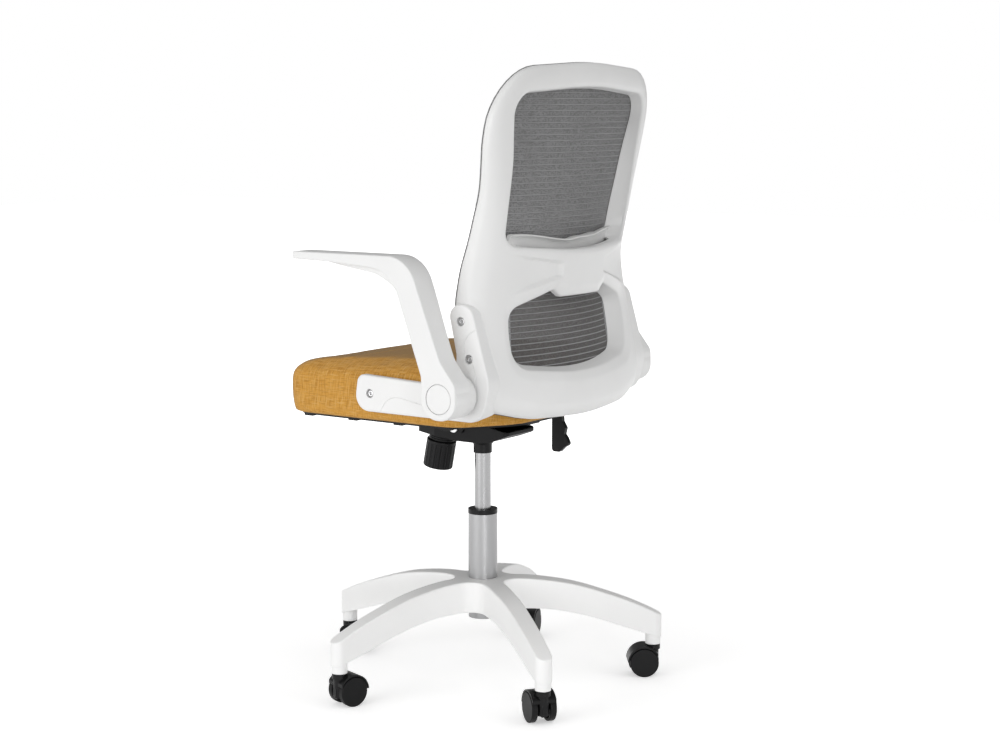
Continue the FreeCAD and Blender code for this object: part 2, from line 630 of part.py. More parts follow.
def tension_parts():
    """Leaning bolt, its nut and spring inside the nose, and the fluted knob below."""
    floor_up = MECH_WALL + 1.2
    spring_low = knob_point(-floor_up)
    spring_high = knob_point(-floor_up - SPRING_H)
    spring = tube(SPRING_R, SPRING_R - SPRING_WIRE, spring_low, spring_high)
    nut_low = knob_point(-floor_up - SPRING_H - 0.2)
    nut_high = knob_point(-floor_up - SPRING_H - 0.2 - NUT_T)
    nut = tube(NUT_R, BOLT_R + RUN_FIT, nut_low, nut_high)
    knob_top = KNOB_DROP + KNOB_RINGS * KNOB_RING_STEP
    knob_bottom = knob_top + KNOB_H
    bolt = cylinder(BOLT_R, knob_point(-floor_up - SPRING_H - NUT_T - 2.0), knob_point(knob_bottom - 12.0))
    neck = cylinder(KNOB_NECK_R, knob_point(KNOB_DROP), knob_point(knob_top + 1.0))
    rings = []
    for k in range(KNOB_RINGS):
        start = KNOB_DROP + 0.2 + k * KNOB_RING_STEP
        rings.append(cylinder(KNOB_NECK_R + 2.0, knob_point(start), knob_point(start + KNOB_RING_H)))
    grip = cylinder(KNOB_R, knob_point(knob_top), knob_point(knob_bottom))
    grip = grip.makeFillet(2.5, [e for e in grip.Edges if e.Curve.TypeId == "Part::GeomCircle"])
    flutes = []
    lean = math.radians(KNOB_LEAN_DEG)
    forward = V(0, math.cos(lean), -math.sin(lean))
    for k in range(KNOB_FLUTES):
        angle = 2.0 * math.pi * k / KNOB_FLUTES
        out = X_AXIS * (math.cos(angle) * (KNOB_R + 1.0))
        out = out.add(forward * (math.sin(angle) * (KNOB_R + 1.0)))
        start = knob_point(knob_top + 6.0).add(out)
        flutes.append(cylinder(KNOB_FLUTE_R, start, knob_point(knob_bottom + 5.0).add(out)))
    well = cylinder(BOLT_R, knob_point(-5.0), knob_point(knob_bottom - 12.0))
    knob = grip.cut(flutes).fuse([neck] + rings).cut(well)
    return {"tension_spring": spring, "tension_nut": nut, "tension_bolt": bolt, "tension_knob": knob}


def height_lever():
    """Round bar from above the gas cylinder to the paddle, with a flat finger inside."""
    bar = cylinder(LEVER_R, V(LEVER_END_X, LEVER_Y, LEVER_Z), V(LEVER_PIVOT_X + 20.0, LEVER_Y, LEVER_Z))
    finger = box(LEVER_PIVOT_X + 15.0, 0.0, -LEVER_R, LEVER_Y + LEVER_R, LEVER_Z - LEVER_R, LEVER_Z)
    return bar.fuse(finger)


def lever_paddle():
    """Flat grip that hangs from the bar, with finger grooves along its rear edge."""
    rear = PADDLE_REAR_Y
    points = [
        (PADDLE_FRONT_Y, PADDLE_TOP_Z, 6.0), (PADDLE_FRONT_Y, PADDLE_BOTTOM_Z, 6.0),
        (rear - 20.0, PADDLE_BOTTOM_Z, 5.0), (rear - 11.0, PADDLE_BOTTOM_Z + 9.0, 4.0),
        (rear, PADDLE_BOTTOM_Z + 15.0, 5.0), (rear - 6.0, PADDLE_BOTTOM_Z + 27.0, 3.0),
        (rear - 11.0, PADDLE_BOTTOM_Z + 33.0, 3.0), (rear - 8.0, PADDLE_BOTTOM_Z + 45.0, 4.0),
        (rear - 15.0, PADDLE_BOTTOM_Z + 56.0, 4.0), (rear - 18.0, PADDLE_TOP_Z, 5.0),
    ]
    plate = side_prism(points, LEVER_END_X - 3.0, LEVER_END_X - 3.0 + PADDLE_T)
    return plate.cut(cylinder(LEVER_R, V(LEVER_END_X, LEVER_Y, LEVER_Z), V(0, LEVER_Y, LEVER_Z)))


# Seat

def seat_plan(inset, z, slope):
    """The cushion's outline from above, drawn in by an inset and laid on a sloping plane."""
    half = SEAT_HALF_W - inset
    front = SEAT_FRONT_Y + inset
    rear = SEAT_REAR_Y - inset
    shrink = max(0.35, 1.0 - inset / 90.0)
    front_r = SEAT_FRONT_CORNER_R * shrink
    rear_r = SEAT_REAR_CORNER_R * shrink
    rear_x = half * 0.56
    rear_y = rear - SEAT_REAR_TURN / 6.0
    points = [
        (-half, front + SEAT_FRONT_BOW, front_r), (0.0, front, 1200.0), (half, front + SEAT_FRONT_BOW, front_r),
        (half, rear - SEAT_REAR_TURN, rear_r), (rear_x, rear_y, 2.1 * rear_r),
        (-rear_x, rear_y, 2.1 * rear_r), (-half, rear - SEAT_REAR_TURN, rear_r),
    ]
    return outline(points, lambda a, b: V(a, b, z + slope * b))


def seat_pan_and_cushion():
    """Moulded pan with two upright side flanges, the cushion round it and the cover below."""
    cover_low = PLATE_Z + PLATE_T
    cover = Part.Face(seat_plan(COVER_INSET, cover_low, 0.0)).extrude(V(0, 0, COVER_T))
    tabs = []
    for y in (-215.0, -120.0, -25.0, 70.0):
        for side in (-1.0, 1.0):
            x = side * (SEAT_HALF_W - COVER_INSET - 10.0)
            tabs.append(box(x - 6.0, x + 6.0, y - 9.0, y + 9.0, cover_low - 3.0, cover_low + 1.0))
    cover = cover.fuse(tabs)
    pan_low = cover_low + COVER_T
    pan = Part.Face(seat_plan(PAN_INSET, pan_low, 0.0)).extrude(V(0, 0, PAN_T))
    for side in (-1.0, 1.0):
        inner = side * (FLANGE_X - FLANGE_T)
        outer = side * FLANGE_X
        edge = [
            (-95.0, pan_low + 2.0), (-80.0, FLANGE_TOP_Z - 8.0, 10.0), (ARM_PIVOT_Y + 12.0, FLANGE_TOP_Z - 4.0, 10.0),
            (ARM_PIVOT_Y + 12.0, pan_low + 24.0, 8.0), (88.0, pan_low + 2.0),
        ]
        pan = pan.fuse(side_prism(edge, min(inner, outer), max(inner, outer)))
    levels = [(inset, SEAT_BOTTOM_Z + up, rise) for inset, up, rise in SEAT_LOW_LEVELS]
    levels += [(inset, SEAT_SIDE_Z + up, rise) for inset, up, rise in SEAT_SIDE_LEVELS]
    levels += [(inset, SEAT_TOP_Z - down, SEAT_RISE) for inset, down in SEAT_CROWN_LEVELS]
    cushion = Part.makeLoft([seat_plan(*level) for level in levels], True, False)
    room = [pan]
    for side in (-1.0, 1.0):
        for y, z in (SEAT_SCREW, (ARM_PIVOT_Y, ARM_PIVOT_Z)):
            room.append(cylinder(BOSS_R + 0.5, V(side * FLANGE_X, y, z), V(side * 300.0, y, z)))
            room.append(cylinder(ARM_PIN_R + 2.0, V(side * 150.0, y, z), V(side * FLANGE_X, y, z)))
            hole = cylinder(SCREW_R, V(side * 150.0, y, z), V(side * 300.0, y, z))
            if z == ARM_PIVOT_Z:
                hole = cylinder(ARM_PIN_R, V(side * 150.0, y, z), V(side * 300.0, y, z))
            pan = pan.cut(hole)
    cushion = cushion.cut(room)
    bolts = []
    for x, y in seat_bolt_places():
        bolts.append(cylinder(SEAT_BOLT_R, V(x, y, cover_low - 20), V(x, y, pan_low + PAN_T - 2.0)))
    return {"seat_pan": pan.cut(bolts), "seat_cushion": cushion, "seat_underside_cover": cover.cut(bolts)}


def seat_bolt_places():
    """Where the four seat bolts stand."""
    return [(sx * SEAT_BOLT_X, sy * SEAT_BOLT_Y) for sx in (-1.0, 1.0) for sy in (-1.0, 1.0)]


def seat_bolts():
    """Four bolts up through the plate and the cover into the pan."""
    bolts = []
    for x, y in seat_bolt_places():
        shank = cylinder(SEAT_BOLT_R, V(x, y, PLATE_Z - 1.0), V(x, y, PLATE_Z + PLATE_T + COVER_T + PAN_T - 2.0))
        head = cylinder(SEAT_BOLT_HEAD_R, V(x, y, PLATE_Z - SEAT_BOLT_HEAD_H), V(x, y, PLATE_Z))
        bolts.append(shank.fuse(head))
    return Part.makeCompound(bolts)


# Side brackets and arms

def left_bracket():
    """L-shaped side plate that joins the back to the seat, with bosses on its inner face."""
    out = BRACKET_IN_X + BRACKET_T
    points = [
        (-91.0, 491.0, 26.0), (-82.0, 552.0, 14.0), (60.0, 546.0, 20.0), (124.0, 566.0, 40.0),
        (99.0, 678.0, 20.0), (146.0, 676.0, 24.0), (182.0, 550.0, 60.0), (166.0, 490.0, 34.0),
    ]
    plate = side_prism(points, BRACKET_IN_X, out)
    face_edges = [e for e in plate.Edges if e.BoundBox.XMin > out - 0.01]
    plate = plate.makeFillet(BRACKET_EDGE_R, face_edges)
    bosses = []
    holes = []
    for y, z in (SEAT_SCREW, (ARM_PIVOT_Y, ARM_PIVOT_Z)):
        bosses.append(cylinder(BOSS_R, V(FLANGE_X, y, z), V(BRACKET_IN_X + 2.0, y, z)))
    for y, z in (SEAT_SCREW, BACK_SCREW_HIGH, BACK_SCREW_LOW):
        holes.append(cylinder(SCREW_R, V(100, y, z), V(300, y, z)))
        holes.append(cylinder(SCREW_RECESS_R, V(out - SCREW_HEAD_H - 0.6, y, z), V(300, y, z)))
    holes.append(cylinder(ARM_PIN_R, V(100, ARM_PIVOT_Y, ARM_PIVOT_Z), V(300, ARM_PIVOT_Y, ARM_PIVOT_Z)))
    return plate.fuse(bosses).cut(holes)


def left_screws():
    """Three cap screws of one side: one to the seat and two to the back."""
    out = BRACKET_IN_X + BRACKET_T
    seat = out - SCREW_HEAD_H - 0.6
    screws = []
    for y, z in (SEAT_SCREW, BACK_SCREW_HIGH, BACK_SCREW_LOW):
        shank = cylinder(SCREW_R, V(seat - SCREW_LENGTH, y, z), V(seat + 1.0, y, z))
        head = cylinder(SCREW_HEAD_R, V(seat, y, z), V(seat + SCREW_HEAD_H, y, z))
        points = []
        for k in range(6):
            angle = math.radians(60.0 * k)
            points.append(V(seat + SCREW_HEAD_H - 1.6, y + 2.6 * math.cos(angle), z + 2.6 * math.sin(angle)))
        socket = Part.Face(Part.makePolygon(points + [points[0]])).extrude(V(5, 0, 0))
        screws.append(shank.fuse(head).cut(socket))
    return screws


def left_arm():
    """Arm in one moulding: thin pad, curved elbow, slanted post and a barrel on the pivot."""
    top = ARM_TOP_Z
    tip = ARM_TIP_Y
    points = [
        (tip, top, 3.0), (tip + 2.0, top - ARM_PAD_T, 3.0), (-100.0, top - 14.0, 60.0), (-10.0, top - 20.0, 60.0),
        (46.0, top - 30.0, 42.0), (100.0, 560.0), (96.0, ARM_PIVOT_Z, 8.0), (150.0, ARM_PIVOT_Z, 8.0),
        (129.0, 586.0), (66.0, top, 58.0),
    ]
    slab = side_prism(points, ARM_PAD_IN_X, ARM_OUT_X)
    inner = [
        (ARM_PAD_IN_X, 400.0), (ARM_PAD_IN_X, top - 26.0, 60.0), (ARM_POST_IN_X, top - 100.0, 60.0),
        (ARM_POST_IN_X, 400.0),
    ]
    wire = outline(inner, lambda a, b: V(a, -300.0, b))
    hollow = Part.Face(wire).extrude(V(0, 700, 0))
    barrel_in = BRACKET_IN_X + BRACKET_T + ARM_BARREL_GAP
    start = V(barrel_in, ARM_PIVOT_Y, ARM_PIVOT_Z)
    end = V(ARM_OUT_X, ARM_PIVOT_Y, ARM_PIVOT_Z)
    barrel = cylinder(ARM_BARREL_R, start, end)
    barrel = barrel.makeFillet(ARM_EDGE_R, [e for e in barrel.Edges if e.Curve.TypeId == "Part::GeomCircle"])
    arm = slab.cut(hollow).fuse(barrel)
    pin_bore = cylinder(ARM_PIN_R + RUN_FIT, V(100, ARM_PIVOT_Y, ARM_PIVOT_Z), V(400, ARM_PIVOT_Y, ARM_PIVOT_Z))
    recess = cylinder(ARM_CAP_R, V(ARM_OUT_X - ARM_RECESS, ARM_PIVOT_Y, ARM_PIVOT_Z), V(400, ARM_PIVOT_Y, ARM_PIVOT_Z))
    return arm.cut([pin_bore, recess])


def left_pivot_pin():
    """Shouldered pin from the pan's flange through the bracket into the arm."""
    head_x = ARM_OUT_X - ARM_RECESS + 0.3
    start = V(FLANGE_X - FLANGE_T - 6.0, ARM_PIVOT_Y, ARM_PIVOT_Z)
    shaft = cylinder(ARM_PIN_R, start, V(head_x + 1.0, ARM_PIVOT_Y, ARM_PIVOT_Z))
    head = cylinder(ARM_PIN_R + 8.0, V(head_x, ARM_PIVOT_Y, ARM_PIVOT_Z), V(head_x + 5.0, ARM_PIVOT_Y, ARM_PIVOT_Z))
    return shaft.fuse(head)


def left_pivot_cap():
    """Round cap that closes the arm's recess."""
    start = V(ARM_OUT_X - ARM_CAP_T, ARM_PIVOT_Y, ARM_PIVOT_Z)
    cap = cylinder(ARM_CAP_R - 0.15, start, V(ARM_OUT_X + 0.3, ARM_PIVOT_Y, ARM_PIVOT_Z))
    rim = [e for e in cap.Edges if e.Curve.TypeId == "Part::GeomCircle" and e.BoundBox.XMin > ARM_OUT_X]
    return cap.makeFillet(1.0, rim)


# Back

def arc_y(middle, side, x):
    """Depth at x of the arc through a middle value and a side value at ARC_X."""
    drop = middle - side
    radius = (drop * drop + ARC_X * ARC_X) / (2.0 * drop)
    return middle - radius + math.sqrt(radius * radius - x * x)


def curved_slab(rear, front):
    """A lofted slab between two curved surfaces, each given by height as (middle, side)."""
    reach = ARC_X + 35.0
    wires = []
    for row in BACK_CURVE:
        z = row[0]
        rear_mid, rear_side = rear(row)
        front_mid, front_side = front(row)
        a = V(-reach, arc_y(rear_mid, rear_side, reach), z)
        b = V(reach, arc_y(rear_mid, rear_side, reach), z)
        c = V(reach, arc_y(front_mid, front_side, reach), z)
        d = V(-reach, arc_y(front_mid, front_side, reach), z)
        edges = [
            Part.Arc(a, V(0, rear_mid, z), b).toShape(),
            Part.LineSegment(b, c).toShape(),
            Part.Arc(c, V(0, front_mid, z), d).toShape(),
            Part.LineSegment(d, a).toShape(),
        ]
        wires.append(Part.Wire(edges))
    return Part.makeLoft(wires, True, False)


def rear_surface(forward):
    """The rear face of the shell, moved forward by a distance."""
    return lambda row: (row[1] - forward, row[2] - forward)


def shell_front(forward):
    """Where the shell ends and the mesh ring begins."""
    return lambda row: (row[1] - row[4] - forward, row[2] - row[3] + RING_T - forward)


def mesh_surface(forward):
    """The rear face of the mesh."""
    return lambda row: (row[5] - forward, row[2] - row[3] - forward)


def back_outline(inset):
    """The back seen from behind."""
    half = [
        (0.0, BACK_BOTTOM_Z + inset, 900.0), (140.0 - inset, BACK_BOTTOM_Z + 6.0 + inset, 200.0),
        (BACK_LOW_HALF_W - inset, BACK_BOTTOM_Z + 28.0 + inset, 40.0 - inset * 0.5),
        (BACK_LOW_HALF_W - inset, 672.0, 150.0), (BACK_WAIST_HALF_W - inset, 752.0, 300.0),
        (BACK_WAIST_HALF_W + 1.0 - inset, 850.0, 250.0), (BACK_HIGH_HALF_W - inset, 970.0, 150.0),
        (BACK_HIGH_HALF_W - 4.0 - inset, BACK_TOP_Z - 7.0 - inset, BACK_CORNER_R - inset),
        (0.0, BACK_TOP_Z - inset, 1500.0),
    ]
    return both_halves(half)


def upper_window(outset):
    """The large opening, grown by a distance."""
    half = [
        (0.0, 753.0 - outset, 1000.0), (178.0 + outset, 766.0 - outset, 28.0 + outset),
        (182.0 + outset, 900.0, 300.0), (190.0 + outset, 1009.0 + outset, 32.0 + outset),
        (0.0, 1018.5 + outset, 1500.0),
    ]
    return both_halves(half)


def lower_window(outset):
    """The lower opening, with the crossbar's tab hanging into its top edge."""
    half = [
        (0.0, 553.0 - outset, 900.0), (171.0 + outset, 566.0 - outset, 26.0 + outset),
        (174.0 + outset, 600.0, 100.0), (168.0 + outset, 674.0 + outset, 24.0 + outset),
        (75.0 - outset * 0.5, 692.0 + outset, 8.0), (56.0 - outset, 679.0 + outset, 6.0),
    ]
    return both_halves(half)


def crossbar_recess(outset):
    """The shallow panel pressed into one half of the crossbar, grown by a distance."""
    return [
        (63.0 - outset, 711.0 - outset, 4.0 + outset), (63.0 - outset, 737.0 + outset, 4.0 + outset),
        (168.0 + outset, 750.0 + outset, 8.0 + outset), (168.0 + outset, 692.0 - outset, 8.0 + outset),
    ]


def back_frame():
    """Rear shell: an open-fronted moulding with two windows and a crossbar between them."""
    body = curved_slab(rear_surface(0.0), shell_front(0.0)).common(rear_prism(back_outline(0.0), BACK_Y0, BACK_Y1))
    windows = [rear_prism(upper_window(0.0), BACK_Y0, BACK_Y1), rear_prism(lower_window(0.0), BACK_Y0, BACK_Y1)]
    body = body.cut(windows)
    core = curved_slab(rear_surface(SHELL_WALL), shell_front(20.0))
    core = core.common(rear_prism(back_outline(SHELL_WALL), BACK_Y0, BACK_Y1))
    walls = [
        rear_prism(upper_window(SHELL_WALL), BACK_Y0, BACK_Y1),
        rear_prism(lower_window(SHELL_WALL), BACK_Y0, BACK_Y1),
    ]
    body = body.cut(core.cut(walls))
    skin = curved_slab(rear_surface(-20.0), rear_surface(RECESS_D))
    floor = curved_slab(rear_surface(RECESS_D), rear_surface(RECESS_D + SHELL_WALL))
    dent = rear_prism(crossbar_recess(0.0), BACK_Y0, BACK_Y1)
    panel = rear_prism(crossbar_recess(SHELL_WALL), BACK_Y0, BACK_Y1)
    for one, other in ((dent, panel), (mirrored(dent), mirrored(panel))):
        body = body.cut(one.common(skin)).fuse(other.common(floor))
    rail = side_prism([
        (RAIL_FRONT_Y, RAIL_LOW_Z), (RAIL_FRONT_Y, RAIL_HIGH_Z), (210.0, RAIL_HIGH_Z), (206.5, RAIL_LOW_Z),
    ], -RAIL_HALF_W, RAIL_HALF_W)
    return body.fuse(rail).cut(back_screw_holes())


def back_screw_holes():
    """Bores for the screws that hold the back to both brackets."""
    return [cylinder(SCREW_R, V(-300, y, z), V(300, y, z)) for y, z in (BACK_SCREW_HIGH, BACK_SCREW_LOW)]


def pivot_boss_room():
    """Room for the brackets' pivot bosses in what lies beside them."""
    room = []
    for side in (-1.0, 1.0):
        start = V(side * (FLANGE_X - 5.0), ARM_PIVOT_Y, ARM_PIVOT_Z)
        end = V(side * (BRACKET_IN_X + 5.0), ARM_PIVOT_Y, ARM_PIVOT_Z)
        room.append(cylinder(BOSS_R + RING_GAP, start, end))
    return room


def mesh_frame():
    """Front ring that the mesh is stretched over, just off the shell."""
    slab = curved_slab(shell_front(RING_GAP), mesh_surface(0.0))
    ring = slab.common(rear_prism(back_outline(RING_GAP), BACK_Y0, BACK_Y1))
    ring = ring.cut(rear_prism(back_outline(RING_W), BACK_Y0, BACK_Y1))
    return ring.cut(back_screw_holes() + pivot_boss_room())


def mesh_panel():
    """The stretched mesh, as one thin curved sheet over the whole ring."""
    slab = curved_slab(mesh_surface(RING_GAP), mesh_surface(RING_GAP + MESH_T))
    return slab.common(rear_prism(back_outline(1.5), BACK_Y0, BACK_Y1)).cut(pivot_boss_room())


def lumbar_pad():
    """Pad between the crossbar and the mesh, guided by the crossbar's rail."""
    slab = curved_slab(shell_front(LUMBAR_REAR_GAP), mesh_surface(-LUMBAR_FRONT_GAP))
    half = [
        (0.0, LUMBAR_LOW_Z, 200.0), (LUMBAR_HALF_W, LUMBAR_LOW_Z + 4.0, 18.0),
        (LUMBAR_HALF_W, LUMBAR_HIGH_Z - 2.0, 16.0), (LUMBAR_HALF_W * 0.7, LUMBAR_HIGH_Z + 2.0, 40.0),
        (LUMBAR_HALF_W * 0.33, LUMBAR_HIGH_Z - 14.0, 60.0), (0.0, LUMBAR_HIGH_Z - 16.0, 90.0),
    ]
    pad = slab.common(rear_prism(both_halves(half), BACK_Y0, BACK_Y1))
    reach = RAIL_HALF_W + RAIL_GAP
    return pad.cut(box(-reach, reach, RAIL_FRONT_Y - RAIL_GAP, 260.0, 600.0, 900.0))


def build():
    """Write every sub-part of the chair."""
    os.makedirs("parts", exist_ok=True)
    save("star_base", star_base())
    housing = caster_housing()
    wheels = {"wheel_left": caster_wheel(1.0), "wheel_right": caster_wheel(-1.0)}
    stems = []
    for k, angle in enumerate(leg_angles(), start=1):
        save("caster_%d_housing" % k, caster_placed(housing, angle))
        save("caster_%d_axle" % k, caster_placed(caster_axle(), angle))
        for name, wheel in wheels.items():
            save("caster_%d_%s" % (k, name), caster_placed(wheel, angle))
        stems.append(caster_placed(caster_stem(), angle))
    save("caster_stems", Part.makeCompound(stems))
    for name, shape in lift_parts().items():
        save(name, shape)
    save("mechanism_housing", mechanism_housing())
    save("mechanism_top_plate", mechanism_top_plate())
    save("tilt_pivot_pin", tilt_pivot_pin())
    for name, shape in tension_parts().items():
        save(name, shape)
    save("height_lever", height_lever())
    save("lever_paddle", lever_paddle())
    for name, shape in seat_pan_and_cushion().items():
        save(name, shape)
    save("seat_bolts", seat_bolts())
    sides = {
        "bracket": left_bracket(),
        "arm": left_arm(),
        "arm_pivot_pin": left_pivot_pin(),
        "arm_pivot_cap": left_pivot_cap(),
    }
    for name, shape in sides.items():
        save("left_" + name, shape)
        save("right_" + name, mirrored(shape))
    screws = left_screws()
    save("left_bracket_screws", Part.makeCompound(screws))
    save("right_bracket_screws", Part.makeCompound([mirrored(s) for s in screws]))
    save("back_frame", back_frame())
    save("mesh_frame", mesh_frame())
    save("mesh_panel", mesh_panel())
    save("lumbar_pad", lumbar_pad())


build()
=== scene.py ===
"""Looks of a mesh office chair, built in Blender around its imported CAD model.

Every class below is one sub-assembly or one finish of the chair. Lengths inside the classes
are millimetres, as in the drawing of the chair, and become metres when a mesh is made.
"""

import json
import logging
import math
from collections.abc import Callable, Iterable, Sequence
from dataclasses import dataclass
from enum import Enum

import bmesh
import bpy
from bpy.types import ID, Material, Modifier, Node, NodeSocket, NodeTree, Object
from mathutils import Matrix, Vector
from mathutils.geometry import delaunay_2d_cdt
from mathutils.kdtree import KDTree


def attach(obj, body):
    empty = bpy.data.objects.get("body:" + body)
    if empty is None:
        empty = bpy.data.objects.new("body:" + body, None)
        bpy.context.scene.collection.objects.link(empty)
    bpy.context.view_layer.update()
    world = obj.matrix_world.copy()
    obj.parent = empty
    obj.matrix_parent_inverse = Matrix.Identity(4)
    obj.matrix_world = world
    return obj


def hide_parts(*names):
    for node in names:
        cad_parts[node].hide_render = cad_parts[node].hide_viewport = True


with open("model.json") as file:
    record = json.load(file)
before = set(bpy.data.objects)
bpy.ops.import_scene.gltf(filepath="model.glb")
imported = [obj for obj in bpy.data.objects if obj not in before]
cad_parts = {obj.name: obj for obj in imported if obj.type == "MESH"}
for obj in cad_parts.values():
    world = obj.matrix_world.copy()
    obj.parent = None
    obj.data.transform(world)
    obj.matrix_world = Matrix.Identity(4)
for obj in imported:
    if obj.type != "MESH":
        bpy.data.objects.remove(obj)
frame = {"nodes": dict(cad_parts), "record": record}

LOG = logging.getLogger("chair")
MM = 0.001

Pair = tuple[float, float]
Triple = tuple[float, float, float]
Corner = Triple
Colour = Triple
Face = tuple[int, ...]


class Side(Enum):
    """A side of the chair, with its sign along X."""

    LEFT = 1.0
    RIGHT = -1.0

    @property
    def label(self) -> str:
        """The side's name as the CAD nodes spell it."""
        return self.name.lower()


# Plane geometry

def rounded_loop(corners: Sequence[Corner], arc_steps: int = 9, line_steps: int = 8) -> list[Pair]:
    """Sample a closed outline of rounded corners, with the same count for any radius.

    Args:
        corners: (a, b, radius) of each corner, in order.
        arc_steps: spans in each rounded corner.
        line_steps: spans in each straight stretch.

    Returns:
        The points, without a repeat of the first.
    """
    arcs: list[list[Pair]] = []
    count = len(corners)
    for i, (a, b, radius) in enumerate(corners):
        here = Vector((a, b))
        back = (Vector(corners[i - 1][:2]) - here).normalized()
        ahead = (Vector(corners[(i + 1) % count][:2]) - here).normalized()
        half = back.angle(ahead) / 2.0
        middle = here + (back + ahead).normalized() * (radius / math.sin(half))
        start = here + back * (radius / math.tan(half)) - middle
        turn = start.angle_signed(here + ahead * (radius / math.tan(half)) - middle)
        arc = []
        for k in range(arc_steps + 1):
            angle = -turn * k / arc_steps
            spoke = Vector((start.x * math.cos(angle) - start.y * math.sin(angle),
                            start.x * math.sin(angle) + start.y * math.cos(angle)))
            arc.append((middle.x + spoke.x, middle.y + spoke.y))
        arcs.append(arc)
    loop: list[Pair] = []
    for i, arc in enumerate(arcs):
        loop.extend(arc)
        (ax, ay), (bx, by) = arc[-1], arcs[(i + 1) % count][0]
        for k in range(1, line_steps):
            share = k / line_steps
            loop.append((ax + (bx - ax) * share, ay + (by - ay) * share))
    return loop


def both_halves(half: Sequence[Corner]) -> list[Corner]:
    """Complete an outline from its corners on the +X side, given from bottom to top."""
    return list(half) + [(-a, b, r) for a, b, r in reversed(half) if a > 0.0]


def circle(a: float, b: float, radius: float, steps: int) -> list[Pair]:
    """Sample a circle about a point."""
    turns = [math.tau * k / steps for k in range(steps)]
    return [(a + radius * math.cos(turn), b + radius * math.sin(turn)) for turn in turns]


def quarter_round(radius: float, steps: int = 5) -> list[Pair]:
    """Inset and drop of the rings that round an edge, from its flat face outwards."""
    angles = [math.pi / 2.0 * k / steps for k in range(steps + 1)]
    return [(radius * (1.0 - math.sin(angle)), radius * (1.0 - math.cos(angle))) for angle in angles]


def drawn_in(loop: Sequence[Pair], inset: float) -> list[Pair]:
    """Move every point of a closed loop inwards, square to the loop, whichever way it runs.

    Args:
        loop: the points.
        inset: how far they move.

    Returns:
        The moved points, in the same order.
    """
    count = len(loop)
    area = sum(a * d - b * c for (a, b), (c, d) in zip(loop, [*loop[1:], loop[0]]))
    turn = inset if area < 0.0 else -inset
    moved = []
    for k, (a, b) in enumerate(loop):
        ahead, back = loop[(k + 1) % count], loop[k - 1]
        along = Vector((ahead[0] - back[0], ahead[1] - back[1])).normalized()
        moved.append((a + along.y * turn, b - along.x * turn))
    return moved


def inside(point: Pair, loop: Sequence[Pair]) -> bool:
    """Tell whether a point lies within a closed loop.

    Args:
        point: the point.
        loop: the loop's points.

    Returns:
        True where a level ray from the point crosses the loop an odd number of times.
    """
    x, y = point
    found = False
    for (ax, ay), (bx, by) in zip(loop, [*loop[1:], loop[0]]):
        if (ay > y) != (by > y) and x < (bx - ax) * (y - ay) / (by - ay) + ax:
            found = not found
    return found


def smoothstep(low: float, high: float, value: float) -> float:
    """Ease from 0 at low to 1 at high."""
    share = min(1.0, max(0.0, (value - low) / (high - low)))
    return share * share * (3.0 - 2.0 * share)


def fill_between(outer: Sequence[Pair], holes: Sequence[Sequence[Pair]], step: Callable[[Pair], float],
                 margin: float = 0.45) -> tuple[list[Pair], list[Face]]:
    """Fill a plane region with triangles of an even size.

    Args:
        outer: the outer loop.
        holes: loops left open.
        step: the wanted spacing at a point, a whole multiple of the finest one.
        margin: least distance of an inner point from the loops, in spacings.

    Returns:
        Points, the loops' own first and in order, and triangles.
    """
    points = [p for loop in (outer, *holes) for p in loop]
    edges: list[tuple[int, int]] = []
    start = 0
    for loop in (outer, *holes):
        size = len(loop)
        edges.extend((start + k, start + (k + 1) % size) for k in range(size))
        start += size
    tree = KDTree(len(points))
    for i, (a, b) in enumerate(points):
        tree.insert((a, b, 0.0), i)
    tree.balance()

    def within(spot: Pair) -> bool:
        """Tell whether a spot lies in the region."""
        return inside(spot, outer) and not any(inside(spot, hole) for hole in holes)

    lows = [min(p[k] for p in outer) for k in (0, 1)]
    highs = [max(p[k] for p in outer) for k in (0, 1)]
    finest = min(step(p) for p in points)
    columns = int((highs[0] - lows[0]) / finest) + 1
    rows = int((highs[1] - lows[1]) / finest) + 1
    for i in range(columns + 1):
        for j in range(rows + 1):
            spot = (lows[0] + i * finest, lows[1] + j * finest)
            spacing = step(spot)
            stride = max(1, round(spacing / finest))
            if i % stride or j % stride:
                continue
            if tree.find((*spot, 0.0))[2] < margin * spacing:
                continue
            if within(spot):
                points.append(spot)
    made = delaunay_2d_cdt([Vector(p) for p in points], edges, [], 0, 1e-6)
    places, faces = made[0], made[2]
    kept = []
    for face in faces:
        centre = sum((places[k] for k in face), Vector((0.0, 0.0))) / len(face)
        if within((centre.x, centre.y)):
            kept.append(tuple(face))
    return [(p.x, p.y) for p in places], kept


# Meshes

def linked(name: str, data: ID) -> Object:
    """Make an object and put it in the scene.

    Args:
        name: the object's name.
        data: its mesh, curve, lamp or camera.

    Returns:
        The object.
    """
    made = bpy.data.objects.new(name, data)
    bpy.context.scene.collection.objects.link(made)
    return made


def shaded(obj: Object, sharp_deg: float) -> Object:
    """Shade a mesh smooth except where it turns by more than an angle.

    Args:
        obj: the mesh object.
        sharp_deg: the angle in degrees.

    Returns:
        The same object.
    """
    obj.data.shade_smooth()
    obj.data.set_sharp_from_angle(angle=math.radians(sharp_deg))
    return obj


